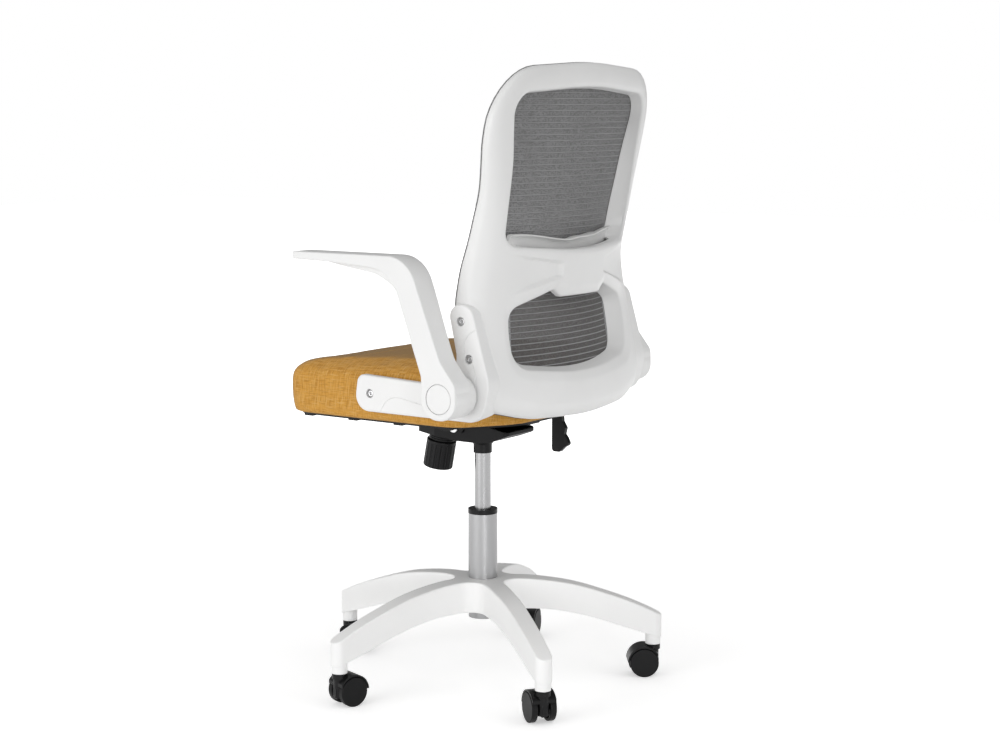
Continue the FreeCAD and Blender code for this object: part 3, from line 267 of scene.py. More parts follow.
def cleaned(obj: Object, sharp_deg: float = 35.0, merge: float = 0.02) -> Object:
    """Merge doubles, turn the normals outwards and mark the sharp edges of a closed mesh.

    Args:
        obj: the mesh object.
        sharp_deg: the least angle of a sharp edge, in degrees.
        merge: points nearer than this, in millimetres, become one.

    Returns:
        The same object.
    """
    grid = bmesh.new()
    grid.from_mesh(obj.data)
    bmesh.ops.remove_doubles(grid, verts=grid.verts, dist=merge * MM)
    bmesh.ops.recalc_face_normals(grid, faces=grid.faces)
    grid.to_mesh(obj.data)
    grid.free()
    return shaded(obj, sharp_deg)


def joined(name: str, parts: Sequence[Object], sharp_deg: float = 40.0) -> Object:
    """Gather several closed pieces in one object, and remove them.

    Args:
        name: the new object's name.
        parts: the pieces.
        sharp_deg: the least angle of a sharp edge, in degrees.

    Returns:
        The new object.
    """
    mesh = bpy.data.meshes.new(name)
    grid = bmesh.new()
    for part in parts:
        grid.from_mesh(part.data)
    grid.to_mesh(mesh)
    grid.free()
    for part in parts:
        bpy.data.objects.remove(part)
    return shaded(linked(name, mesh), sharp_deg)


def modify(obj: Object, kind: str, **settings: object) -> Modifier:
    """Put a modifier on an object.

    Args:
        obj: the object.
        kind: the modifier's type.
        **settings: its properties.

    Returns:
        The modifier.
    """
    modifier = obj.modifiers.new(kind.lower(), kind)
    for key, value in settings.items():
        setattr(modifier, key, value)
    return modifier


def apply_modifiers(obj: Object) -> Object:
    """Turn an object's evaluated form into its plain mesh.

    Args:
        obj: the object with its modifiers.

    Returns:
        The same object, without modifiers.
    """
    graph = bpy.context.evaluated_depsgraph_get()
    mesh = bpy.data.meshes.new_from_object(
        obj.evaluated_get(graph), preserve_all_data_layers=True, depsgraph=graph)
    before = obj.data
    obj.modifiers.clear()
    obj.data = mesh
    bpy.data.meshes.remove(before)
    mesh.name = obj.name
    return obj


def thickened(obj: Object, wall: float, offset: float) -> Object:
    """Give a skin its wall.

    Args:
        obj: the skin.
        wall: the wall in millimetres.
        offset: -1 for a wall inside the skin, 0 for one on both its sides.

    Returns:
        The same object.
    """
    modify(obj, "SOLIDIFY", thickness=wall * MM, offset=offset)
    return apply_modifiers(obj)


def dressed(obj: Object, material: Material) -> Object:
    """Give every face of an object one material.

    Args:
        obj: the object.
        material: the material.

    Returns:
        The same object.
    """
    obj.data.materials.clear()
    obj.data.materials.append(material)
    for face in obj.data.polygons:
        face.material_index = 0
    return obj


class Skin:
    """Points and faces of one piece, gathered patch by patch and ring by ring."""

    def __init__(self) -> None:
        """Start with nothing."""
        self.points: list[Sequence[float]] = []
        self.faces: list[Face] = []

    def add(self, points: Iterable[Sequence[float]]) -> int:
        """Add points.

        Args:
            points: their places in millimetres.

        Returns:
            The index of the first.
        """
        first = len(self.points)
        self.points.extend(points)
        return first

    def cover(self, first: int, faces: Iterable[Sequence[int]]) -> None:
        """Add faces whose indices count from one point."""
        self.faces.extend(tuple(first + i for i in face) for face in faces)

    def patch(self, points: Iterable[Sequence[float]], faces: Iterable[Sequence[int]]) -> None:
        """Add points with the faces between them."""
        self.cover(self.add(points), faces)

    def bridge(self, before: int, after: int, count: int) -> None:
        """Join two closed rings of count points with quads."""
        ahead = [(k + 1) % count for k in range(count)]
        self.faces.extend((before + k, before + ahead[k], after + ahead[k], after + k) for k in range(count))

    def grow(self, before: int, ring: Sequence[Sequence[float]]) -> int:
        """Add a closed ring, joined to an earlier one.

        Args:
            before: the earlier ring's first index.
            ring: the new ring's points, as many as the earlier one has.

        Returns:
            The new ring's first index.
        """
        first = self.add(ring)
        self.bridge(before, first, len(ring))
        return first

    def stack(self, rings: Sequence[Sequence[Sequence[float]]]) -> None:
        """Add closed rings, each joined to the one before it.

        Args:
            rings: the rings in order, all with one count of points.
        """
        before = self.add(rings[0])
        for ring in rings[1:]:
            before = self.grow(before, ring)

    def cap_ends(self, count: int) -> None:
        """Close the first and the last ring of count points with one face each.

        Args:
            count: the points in each ring.
        """
        last = len(self.points) - count
        self.faces.append(tuple(reversed(range(count))))
        self.faces.append(tuple(range(last, last + count)))

    def sink(self, rim: int, floor: Sequence[Sequence[float]], centre: Sequence[float]) -> None:
        """Sink a round pocket.

        Args:
            rim: the first index of the pocket's rim in the face round it.
            floor: the ring round the pocket's floor.
            centre: the floor's middle.
        """
        size = len(floor)
        first = self.grow(rim, floor)
        self.add([centre])
        self.faces.extend((first + k, first + (k + 1) % size, first + size) for k in range(size))

    def piece(self, name: str, sign: float = 1.0) -> Object:
        """Make the mesh.

        Args:
            name: the piece's name.
            sign: -1 mirrors it to the right side.

        Returns:
            Its object at the origin, smooth shaded.
        """
        mesh = bpy.data.meshes.new(name)
        places = [(sign * x * MM, y * MM, z * MM) for x, y, z in self.points]
        mesh.from_pydata(places, [], self.faces)
        mesh.validate()
        mesh.shade_smooth()
        return linked(name, mesh)


def lathe(name: str, profile: Sequence[Pair], centre: Vector, axis: Vector, steps: int = 64) -> Object:
    """Turn a profile about an axis.

    Args:
        name: the piece's name.
        profile: (radius, distance along the axis) from one pole to the other.
        centre: a point on the axis, in millimetres.
        axis: its direction.
        steps: spans round the axis.

    Returns:
        The closed piece.
    """
    axis = axis.normalized()
    across = axis.orthogonal().normalized()
    other = axis.cross(across)
    least = 0.001
    rings = []
    for radius, along in profile:
        ring = []
        for k in range(steps):
            angle = 2.0 * math.pi * k / steps
            spoke = across * math.cos(angle) + other * math.sin(angle)
            ring.append(centre + axis * along + spoke * max(radius, least))
        rings.append(ring)
    skin = Skin()
    skin.stack(rings)
    return cleaned(skin.piece(name), merge=0.01)


# Shader trees

class Canvas:
    """A node tree that is written from left to right."""

    def __init__(self, tree: NodeTree) -> None:
        """Keep the tree."""
        self.tree = tree

    def add(self, kind: str, settings: dict[str, object] | None = None, **inputs: object) -> Node:
        """Add a node.

        Args:
            kind: the node's type name.
            settings: its own properties.
            **inputs: values or sockets for its inputs, with spaces written as underscores.

        Returns:
            The node.
        """
        node = self.tree.nodes.new(kind)
        for key, value in (settings or {}).items():
            setattr(node, key, value)
        for key, value in inputs.items():
            self.feed(node.inputs[key.replace("_", " ")], value)
        return node

    def feed(self, socket: NodeSocket, value: object) -> None:
        """Link a socket to another, or set its value.

        Args:
            socket: the input socket.
            value: an output socket, or a plain value.
        """
        if isinstance(value, NodeSocket):
            self.tree.links.new(value, socket)
        else:
            socket.default_value = value

    def math(self, operation: str, *values: object, clamp: bool = False) -> NodeSocket:
        """Add a Math node.

        Args:
            operation: its operation.
            *values: values or sockets for its inputs.
            clamp: True keeps the result between 0 and 1.

        Returns:
            Its result.
        """
        node = self.add("ShaderNodeMath", {"operation": operation, "use_clamp": clamp})
        for socket, value in zip(node.inputs, values):
            self.feed(socket, value)
        return node.outputs[0]

    def mix(self, factor: object, first: object, second: object) -> NodeSocket:
        """Mix two colours.

        Args:
            factor: the second colour's share.
            first: a colour or a socket.
            second: a colour or a socket.

        Returns:
            The mixed colour.
        """
        node = self.add("ShaderNodeMix", {"data_type": "RGBA"})
        self.feed(node.inputs["Factor"], factor)
        for key, value in (("A", first), ("B", second)):
            socket = next(s for s in node.inputs if s.name == key and s.type == "RGBA")
            self.feed(socket, (*value, 1.0) if isinstance(value, tuple) else value)
        return next(s for s in node.outputs if s.type == "RGBA")

    def ramp(self, value: NodeSocket, low: float, high: float) -> NodeSocket:
        """Ease a value.

        Args:
            value: the value's socket.
            low: the value that gives 0.
            high: the value that gives 1.

        Returns:
            The eased value.
        """
        node = self.add("ShaderNodeMapRange", {"interpolation_type": "SMOOTHSTEP"}, Value=value,
                        From_Min=low, From_Max=high)
        return node.outputs["Result"]

    def scaled(self, vector: NodeSocket, scale: Triple) -> NodeSocket:
        """Stretch coordinates.

        Args:
            vector: the coordinates.
            scale: the factor along each axis.

        Returns:
            The stretched coordinates.
        """
        node = self.add("ShaderNodeVectorMath", {"operation": "MULTIPLY"})
        self.feed(node.inputs[0], vector)
        self.feed(node.inputs[1], scale)
        return node.outputs["Vector"]

    def noise(self, vector: NodeSocket, scale: object, detail: float = 2.0) -> NodeSocket:
        """Add a noise texture and return its value."""
        return self.add("ShaderNodeTexNoise", None, Vector=vector, Scale=scale, Detail=detail).outputs[0]

    def object_spot(self) -> NodeSocket:
        """Object coordinates in metres."""
        return self.add("ShaderNodeTexCoord").outputs["Object"]

    def bump(self, shader: Node, strength: float, distance: float, height: NodeSocket,
             edge: float = 0.0) -> None:
        """Feed a shader's normal with fine relief.

        Args:
            shader: the main shader.
            strength: the relief's strength.
            distance: its depth in metres.
            height: its height.
            edge: radius in millimetres by which sharp corners look rounded, or 0.
        """
        node = self.add("ShaderNodeBump", None, Strength=strength, Distance=distance, Height=height)
        if edge:
            corner = self.add("ShaderNodeBevel", {"samples": 4}, Radius=edge * MM)
            self.feed(node.inputs["Normal"], corner.outputs["Normal"])
        self.feed(shader.inputs["Normal"], node.outputs["Normal"])


class Effect(Enum):
    """Shader groups that several finishes share."""

    GRAIN = "moulded_grain"
    WEAVE = "woven_cloth"
    BRUSHED = "drawn_metal"


def new_group(effect: Effect, sizes: dict[str, float], outputs: Sequence[str]) -> Canvas:
    """Start a shader group that reads a vector and some sizes.

    Args:
        effect: the effect that the group makes.
        sizes: name and default of each size among its inputs.
        outputs: name of each value that it puts out.

    Returns:
        The group's canvas, with its input and output nodes in place.
    """
    tree = bpy.data.node_groups.new(effect.value, "ShaderNodeTree")
    tree.interface.new_socket("Vector", in_out="INPUT", socket_type="NodeSocketVector")
    for label, default in sizes.items():
        socket = tree.interface.new_socket(label, in_out="INPUT", socket_type="NodeSocketFloat")
        socket.default_value = default
    for label in outputs:
        tree.interface.new_socket(label, in_out="OUTPUT", socket_type="NodeSocketFloat")
    canvas = Canvas(tree)
    canvas.add("NodeGroupInput")
    canvas.add("NodeGroupOutput")
    return canvas


def grain_group() -> NodeTree:
    """Fine moulded grain.

    Returns:
        A group with a height, and a slow mottle that shifts colour and gloss.
    """
    sizes = {"Grain Scale": 1400.0, "Mottle Scale": 9.0}
    canvas = new_group(Effect.GRAIN, sizes, ["Height", "Mottle"])
    start, end = canvas.tree.nodes[0], canvas.tree.nodes[1]
    vector = start.outputs["Vector"]
    fine = canvas.noise(vector, start.outputs["Grain Scale"], 2.0)
    cells = canvas.add("ShaderNodeTexVoronoi", {"feature": "SMOOTH_F1"}, Vector=vector,
                       Scale=start.outputs["Grain Scale"])
    height = canvas.math("MULTIPLY", fine, canvas.math("ADD", cells.outputs["Distance"], 0.4))
    mottle = canvas.noise(vector, start.outputs["Mottle Scale"], 3.0)
    canvas.feed(end.inputs["Height"], height)
    canvas.feed(end.inputs["Mottle"], canvas.ramp(mottle, 0.3, 0.7))
    return canvas.tree


def weave_group() -> NodeTree:
    """Plain weave of uneven yarn.

    Returns:
        A group with a height, light slubs, dark yarns and which yarn lies on top.
    """
    canvas = new_group(Effect.WEAVE, {"Yarns Per Metre": 900.0}, ["Height", "Slub", "Dark", "Over"])
    start, end = canvas.tree.nodes[0], canvas.tree.nodes[1]
    vector = start.outputs["Vector"]
    density = start.outputs["Yarns Per Metre"]
    split = canvas.add("ShaderNodeSeparateXYZ", None, Vector=vector)
    waves = []
    for axis in ("X", "Y"):
        turn = canvas.math("MULTIPLY", canvas.math("MULTIPLY", split.outputs[axis], density), math.pi)
        waves.append(canvas.math("SINE", turn))
    product = canvas.math("MULTIPLY", waves[0], waves[1])
    bulge = canvas.math("ABSOLUTE", product)
    along = canvas.noise(canvas.scaled(vector, (38.0, 560.0, 1.0)), 1.0, 2.0)
    across = canvas.noise(canvas.scaled(vector, (560.0, 38.0, 1.0)), 1.0, 2.0)
    other = canvas.noise(canvas.scaled(vector, (50.0, 700.0, 5.0)), 1.0, 1.0)
    light = canvas.math("MAXIMUM", canvas.ramp(along, 0.54, 0.66), canvas.ramp(across, 0.54, 0.66))
    dark = canvas.math("MAXIMUM", canvas.ramp(other, 0.53, 0.66), canvas.ramp(across, 0.46, 0.36))
    height = canvas.math("ADD", canvas.math("MULTIPLY", bulge, 0.6), canvas.math("MULTIPLY", light, 0.5))
    canvas.feed(end.inputs["Height"], height)
    canvas.feed(end.inputs["Slub"], light)
    canvas.feed(end.inputs["Dark"], dark)
    canvas.feed(end.inputs["Over"], canvas.ramp(product, -0.12, 0.12))
    return canvas.tree


def brushed_group() -> NodeTree:
    """Fine lines along Z, as on drawn or polished metal.

    Returns:
        A group with a height and a streak.
    """
    canvas = new_group(Effect.BRUSHED, {"Line Scale": 900.0}, ["Height", "Streak"])
    start, end = canvas.tree.nodes[0], canvas.tree.nodes[1]
    stretched = canvas.scaled(start.outputs["Vector"], (1.0, 1.0, 0.012))
    lines = canvas.noise(stretched, start.outputs["Line Scale"], 2.0)
    slow = canvas.noise(canvas.scaled(start.outputs["Vector"], (1.0, 1.0, 0.3)), 60.0, 2.0)
    canvas.feed(end.inputs["Height"], lines)
    canvas.feed(end.inputs["Streak"], canvas.ramp(slow, 0.3, 0.7))
    return canvas.tree


GROUP_MAKERS: dict[Effect, Callable[[], NodeTree]] = {
    Effect.GRAIN: grain_group,
    Effect.WEAVE: weave_group,
    Effect.BRUSHED: brushed_group,
}


def effect_node(canvas: Canvas, effect: Effect, **inputs: object) -> Node:
    """Place a shared effect in a material, building its group on first use.

    Args:
        canvas: the material's canvas.
        effect: the effect.
        **inputs: values or sockets for the group's inputs.

    Returns:
        The group's node.
    """
    tree = bpy.data.node_groups.get(effect.value) or GROUP_MAKERS[effect]()
    return canvas.add("ShaderNodeGroup", {"node_tree": tree}, **inputs)


def new_material(name: str) -> tuple[Material, Canvas, Node]:
    """Start a material.

    Args:
        name: the material's name.

    Returns:
        The material, its canvas and its main shader.
    """
    material = bpy.data.materials.new(name)
    material.use_nodes = True
    canvas = Canvas(material.node_tree)
    shader = next(n for n in material.node_tree.nodes if n.type == "BSDF_PRINCIPLED")
    return material, canvas, shader


def tinted(colour: Colour, share: float) -> Colour:
    """A colour made lighter or darker by a share."""
    return tuple(c * share for c in colour)


@dataclass(frozen=True)
class MouldedPlastic:
    """Moulded plastic with fine grain, a slow mottle and softened corners."""

    name: str
    colour: Colour
    roughness: float = 0.42
    grain: float = 0.00002
    mottle: float = 0.03
    edge: float = 0.5
    scale: float = 1300.0
    specular: float = 0.5
    gloss_swing: float = 0.06

    def material(self) -> Material:
        """Build the finish.

        Returns:
            The material.
        """
        material, canvas, shader = new_material(self.name)
        grain = effect_node(canvas, Effect.GRAIN, Vector=canvas.object_spot(), Grain_Scale=self.scale)
        mottle = grain.outputs["Mottle"]
        colour = canvas.mix(mottle, tinted(self.colour, 1.0 - self.mottle), self.colour)
        canvas.feed(shader.inputs["Base Color"], colour)
        gloss = canvas.math("MULTIPLY_ADD", mottle, self.gloss_swing, self.roughness - self.gloss_swing / 2.0)
        canvas.feed(shader.inputs["Roughness"], gloss)
        shader.inputs["Specular IOR Level"].default_value = self.specular
        canvas.bump(shader, 0.6, self.grain, grain.outputs["Height"], self.edge)
        return material


@dataclass(frozen=True)
class CoatedMetal:
    """Metal, bare or under paint, with fine drawn lines."""

    name: str
    colour: Colour
    metallic: float
    roughness: float
    lines: float = 0.000004
    edge: float = 0.4
    streak: float = 0.06
    gloss_swing: float = 0.08

    def material(self) -> Material:
        """Build the finish.

        Returns:
            The material.
        """
        material, canvas, shader = new_material(self.name)
        drawn = effect_node(canvas, Effect.BRUSHED, Vector=canvas.object_spot())
        streak = drawn.outputs["Streak"]
        colour = canvas.mix(streak, tinted(self.colour, 1.0 - self.streak), self.colour)
        canvas.feed(shader.inputs["Base Color"], colour)
        shader.inputs["Metallic"].default_value = self.metallic
        gloss = canvas.math("MULTIPLY_ADD", streak, self.gloss_swing, self.roughness - self.gloss_swing / 2.0)
        canvas.feed(shader.inputs["Roughness"], gloss)
        canvas.bump(shader, 0.5, self.lines, drawn.outputs["Height"], self.edge)
        return material


@dataclass(frozen=True)
class SeatCloth:
    """Ochre cloth of uneven yarn, woven plain, with light slubs and darker yarns, and painted shade that
    darkens it where it is seen at a grazing angle.
    """

    name: str = "seat_cloth"
    yarn: Colour = (0.64, 0.330, 0.066)
    dark: Colour = (0.36, 0.150, 0.018)
    slub: Colour = (0.76, 0.480, 0.170)
    # Colour of the painted shade where the cloth is seen at a grazing angle.
    grazing_shade: Colour = (0.25, 0.150, 0.060)
    sheen: Colour = (0.95, 0.80, 0.60)
    yarns_per_metre: float = 820.0
    relief: float = 0.00022
    dark_share: float = 0.62
    slub_share: float = 0.55
    under_share: float = 0.12
    slow_share: float = 0.10
    grazing_shade_share: float = 0.90

    def material(self) -> Material:
        """Build the finish.

        Returns:
            The material.
        """
        material, canvas, shader = new_material(self.name)
        spot = canvas.add("ShaderNodeTexCoord").outputs["UV"]
        weave = effect_node(canvas, Effect.WEAVE, Vector=spot, Yarns_Per_Metre=self.yarns_per_metre)
        slow = canvas.ramp(canvas.noise(canvas.object_spot(), 14.0, 3.0), 0.35, 0.7)
        facing = canvas.add("ShaderNodeLayerWeight", None, Blend=0.35).outputs["Facing"]
        colour = self.yarn
        # The last mix is painted shade: the cloth is painted darker where it turns away from the camera, as
        # on the seat's top.
        for mask, share, tone in ((weave.outputs["Dark"], self.dark_share, self.dark),
                                  (weave.outputs["Slub"], self.slub_share, self.slub),
                                  (weave.outputs["Over"], self.under_share, self.dark),
                                  (slow, self.slow_share, self.dark),
                                  (canvas.ramp(facing, 0.50, 0.95), self.grazing_shade_share, self.grazing_shade)):
            colour = canvas.mix(canvas.math("MULTIPLY", mask, share), colour, tone)
        canvas.feed(shader.inputs["Base Color"], colour)
        shader.inputs["Roughness"].default_value = 0.92
        shader.inputs["Specular IOR Level"].default_value = 0.18
        shader.inputs["Sheen Weight"].default_value = 0.10
        shader.inputs["Sheen Roughness"].default_value = 0.45
        shader.inputs["Sheen Tint"].default_value = (*self.sheen, 1.0)
        canvas.bump(shader, 0.8, self.relief, weave.outputs["Height"])
        return material


@dataclass(frozen=True)
class KnitMesh:
    """Stretched knit: dark yarn round small holes, with a closer band beside each rib, and painted shade that
    darkens the yarn below the crossbar's height.
    """

    name: str = "mesh_cloth"
    yarn: Colour = (0.285, 0.285, 0.288)
    # Colour of the yarn's painted shade below the crossbar's height.
    painted_shade_yarn: Colour = (0.112, 0.106, 0.102)
    band: Colour = (0.21, 0.21, 0.214)
    pitch: float = 9.6
    hole_pitch: float = 2.4
    hole_height: float = 0.8
    hole: float = 0.30
    hole_fade: float = 0.12
    clear: float = 0.6
    blotch: float = 0.5
    painted_shade_z: Pair = (0.68, 0.78)

    def material(self) -> Material:
        """Build the finish.

        Returns:
            The material.
        """
        material, canvas, shader = new_material(self.name)
        spot = canvas.object_spot()
        split = canvas.add("ShaderNodeSeparateXYZ", None, Vector=spot)
        across = canvas.math("MULTIPLY", split.outputs["X"], math.pi / (self.hole_pitch * MM))
        up = canvas.math("MULTIPLY", split.outputs["Z"], math.pi / (self.hole_pitch * self.hole_height * MM))
        shift = canvas.math("MULTIPLY", canvas.math("SINE", canvas.math("MULTIPLY", up, 0.5)), 0.9)
        cell = canvas.math("MULTIPLY", canvas.math("SINE", canvas.math("ADD", across, shift)),
                           canvas.math("SINE", up))
        phase = canvas.math("MULTIPLY", split.outputs["Z"], 2.0 * math.pi / (self.pitch * MM))
        band = canvas.ramp(canvas.math("COSINE", phase), 0.72, 0.95)
        fuzz = canvas.noise(spot, 1100.0, 2.0)
        # Painted shade: the yarn is painted darker below a height of 0.68 to 0.78 m.
        high = canvas.ramp(split.outputs["Z"], *self.painted_shade_z)
        blotch = canvas.ramp(canvas.noise(canvas.scaled(spot, (1.0, 1.0, 1.5)), 330.0, 1.0), 0.44, 0.57)
        colour = canvas.mix(band, canvas.mix(high, self.painted_shade_yarn, self.yarn), self.band)
        colour = canvas.mix(canvas.math("MULTIPLY", fuzz, 0.35), colour, tinted(self.band, 1.15))
        shade = canvas.math("MULTIPLY", blotch, self.blotch)
        colour = canvas.mix(shade, colour, tinted(self.painted_shade_yarn, 0.55))
        canvas.feed(shader.inputs["Base Color"], colour)
        rim = 1.0 - self.hole
        opening = canvas.ramp(canvas.math("ABSOLUTE", cell), rim, rim + self.hole_fade)
        open_share = canvas.math("MULTIPLY", canvas.math("SUBTRACT", 1.0, band), opening)
        thin = canvas.math("MULTIPLY", open_share, self.clear)
        canvas.feed(shader.inputs["Alpha"], canvas.math("SUBTRACT", 1.0, thin, clamp=True))
        shader.inputs["Roughness"].default_value = 0.8
        shader.inputs["Specular IOR Level"].default_value = 0.25
        shader.inputs["Sheen Weight"].default_value = 0.08
        relief = canvas.math("SUBTRACT", canvas.math("MULTIPLY", fuzz, 0.4), canvas.math("ABSOLUTE", cell))
        canvas.bump(shader, 0.6, 0.0004, relief)
        return material


@dataclass(frozen=True)
class PlyBoard:
    """Bare plywood of the seat's inner pan."""

    name: str = "pan_board"
    light: Colour = (0.62, 0.47, 0.30)
    dark: Colour = (0.42, 0.29, 0.16)
    figure_scale: Triple = (90.0, 7.0, 260.0)

    def material(self) -> Material:
        """Build the finish.

        Returns:
            The material.
        """
        material, canvas, shader = new_material(self.name)
        figure = canvas.noise(canvas.scaled(canvas.object_spot(), self.figure_scale), 1.0, 4.0)
        colour = canvas.mix(canvas.ramp(figure, 0.3, 0.7), self.light, self.dark)
        canvas.feed(shader.inputs["Base Color"], colour)
        shader.inputs["Roughness"].default_value = 0.7
        canvas.bump(shader, 0.4, 0.0001, figure)
        return material


class Finishes:
    """Every finish of the chair, built once and found by its name."""

    def __init__(self) -> None:
        """Build the materials."""
        black = (0.006, 0.006, 0.0065)
        finishes = (
            MouldedPlastic("white_nylon", (0.86, 0.86, 0.855)),
            MouldedPlastic("lumbar_nylon", (0.78, 0.78, 0.775), roughness=0.5, grain=0.00003),
            MouldedPlastic("base_nylon", (0.92, 0.92, 0.915), roughness=0.38, edge=1.2),
            MouldedPlastic("black_nylon", black, 0.36, 0.00004, 0.15, 0.4, specular=0.18),
            MouldedPlastic("caster_nylon", black, 0.30, 0.00002, 0.15, 0.6, specular=0.22),
            MouldedPlastic("wheel_nylon", black, 0.45, 0.00003, 0.15, 0.6, specular=0.18),
            MouldedPlastic("black_coat", black, 0.45, 0.00006, 0.15, 0.8, scale=700.0, specular=0.16),
            CoatedMetal("silver_tube", (0.385, 0.385, 0.39), metallic=0.75, roughness=0.36),
            CoatedMetal("silver_rod", (0.34, 0.34, 0.344), metallic=0.95, roughness=0.28),
            CoatedMetal("bright_steel", (0.56, 0.56, 0.565), metallic=1.0, roughness=0.26),
            PlyBoard(),
            SeatCloth(),
            KnitMesh(),
            MouldedPlastic("mesh_rib_yarn", (0.37, 0.37, 0.375), 0.75, 0.00006, 0.2, 0.1, specular=0.2),
            # The edge cloth's second yarn colour is painted shade, a little darker below the crossbar's
            # height.
            KnitMesh("mesh_edge_cloth", yarn=(0.42, 0.42, 0.425), painted_shade_yarn=(0.40, 0.40, 0.405),
                     band=(0.24, 0.24, 0.245), hole=0.12),
        )
        self.by_name = {finish.name: finish.material() for finish in finishes}

    def dress_frame(self) -> None:
        """Give each CAD node the finish of its slot."""
        slots = {part["node"]: part["material_slot"] for part in frame["record"]["subparts"]}
        for name, obj in frame["nodes"].items():
            dressed(obj, self.by_name[slots[name]])

    def place(self, obj: Object, body: str, slot: str, replaced: Sequence[str] = (),
              finish: str | None = None) -> Object:
        """Dress a finished piece and hand it to its CAD body.

        Args:
            obj: the piece.
            body: the body that it rides on.
            slot: the record's material slot.
            replaced: CAD nodes that it stands for.
            finish: its finish, where that isn't the slot's own.

        Returns:
            The piece.
        """
        dressed(obj, self.by_name[finish or slot])
        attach(obj, body)
        if replaced:
            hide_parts(*replaced)
        LOG.info("%s rides on %s with %d faces", obj.name, body, len(obj.data.polygons))
        return obj


class Depth(Enum):
    """What a row of the back's curve gives after its height, by place in the row."""

    REAR_MIDDLE = 1
    REAR_SIDE = 2
    SIDE_WALL = 3
    MIDDLE_WALL = 4
    MESH_MIDDLE = 5


@dataclass
class CurvedBack:
    """The curved surfaces that the shell, the ring and the mesh share.

    A row gives, at its height, Y of the rear face in the middle and at the side, the shell's
    depth at the side and in the middle, and Y of the mesh in the middle.
    """

    arc_x: float = 225.0
    ring: float = 8.0
    rows: tuple[tuple[float, ...], ...] = (
        (465.0, 221.0, 180.0, 42.0, 24.0, 190.0),
        (510.0, 220.0, 179.0, 42.0, 23.0, 189.0),
        (555.0, 215.0, 174.0, 42.0, 20.0, 185.0),
        (605.0, 211.0, 164.0, 42.0, 18.0, 180.0),
        (660.0, 208.0, 151.0, 40.0, 18.0, 175.0),
        (700.0, 208.0, 142.0, 37.0, 18.0, 173.0),
        (740.0, 211.0, 137.0, 33.0, 18.0, 172.0),
        (800.0, 215.0, 152.0, 31.0, 18.0, 175.0),
        (870.0, 218.0, 170.0, 27.0, 16.0, 183.0),
        (940.0, 220.0, 185.0, 25.0, 15.0, 192.0),
        (1000.0, 222.0, 197.0, 22.0, 14.0, 199.0),
        (1070.0, 226.0, 210.0, 18.0, 13.0, 206.0),
    )

    def column(self, depth: Depth, z: float) -> float:
        """One value of the rows at a height, along a smooth curve through them.

        Args:
            depth: the value.
            z: the height.

        Returns:
            The value at that height.
        """
        heights = [row[0] for row in self.rows]
        values = [row[depth.value] for row in self.rows]
        z = min(max(z, heights[0]), heights[-1])
        k = max(0, min(len(heights) - 2, sum(1 for h in heights if h <= z) - 1))
        slopes = []
        for i in (k, k + 1):
            low, high = max(0, i - 1), min(len(heights) - 1, i + 1)
            slopes.append((values[high] - values[low]) / (heights[high] - heights[low]))
        span = heights[k + 1] - heights[k]
        t = (z - heights[k]) / span
        return ((2 * t**3 - 3 * t**2 + 1) * values[k] + (t**3 - 2 * t**2 + t) * span * slopes[0]
                + (3 * t**2 - 2 * t**3) * values[k + 1] + (t**3 - t**2) * span * slopes[1])

    def arc(self, middle: float, side: float, x: float) -> float:
        """Y at x of the level arc through a middle value and a side value.

        Args:
            middle: Y in the middle.
            side: Y at the side, arc_x away.
            x: the distance from the middle.

        Returns:
            Y on the arc.
        """
        drop = middle - side
        radius = (drop * drop + self.arc_x**2) / (2.0 * drop)
        return middle - radius + math.sqrt(radius * radius - x * x)

    def rear(self, x: float, z: float) -> float:
        """Y of the shell's rear face."""
        return self.arc(self.column(Depth.REAR_MIDDLE, z), self.column(Depth.REAR_SIDE, z), x)

    def front(self, x: float, z: float) -> float:
        """Y of the shell's front edge, where the ring begins."""
        middle = self.column(Depth.REAR_MIDDLE, z) - self.column(Depth.MIDDLE_WALL, z)
        side = self.column(Depth.REAR_SIDE, z) - self.column(Depth.SIDE_WALL, z)
        return self.arc(middle, side + self.ring, x)

    def mesh(self, x: float, z: float) -> float:
        """Y of the mesh's rear face."""
        side = self.column(Depth.REAR_SIDE, z) - self.column(Depth.SIDE_WALL, z)
        return self.arc(self.column(Depth.MESH_MIDDLE, z), side, x)


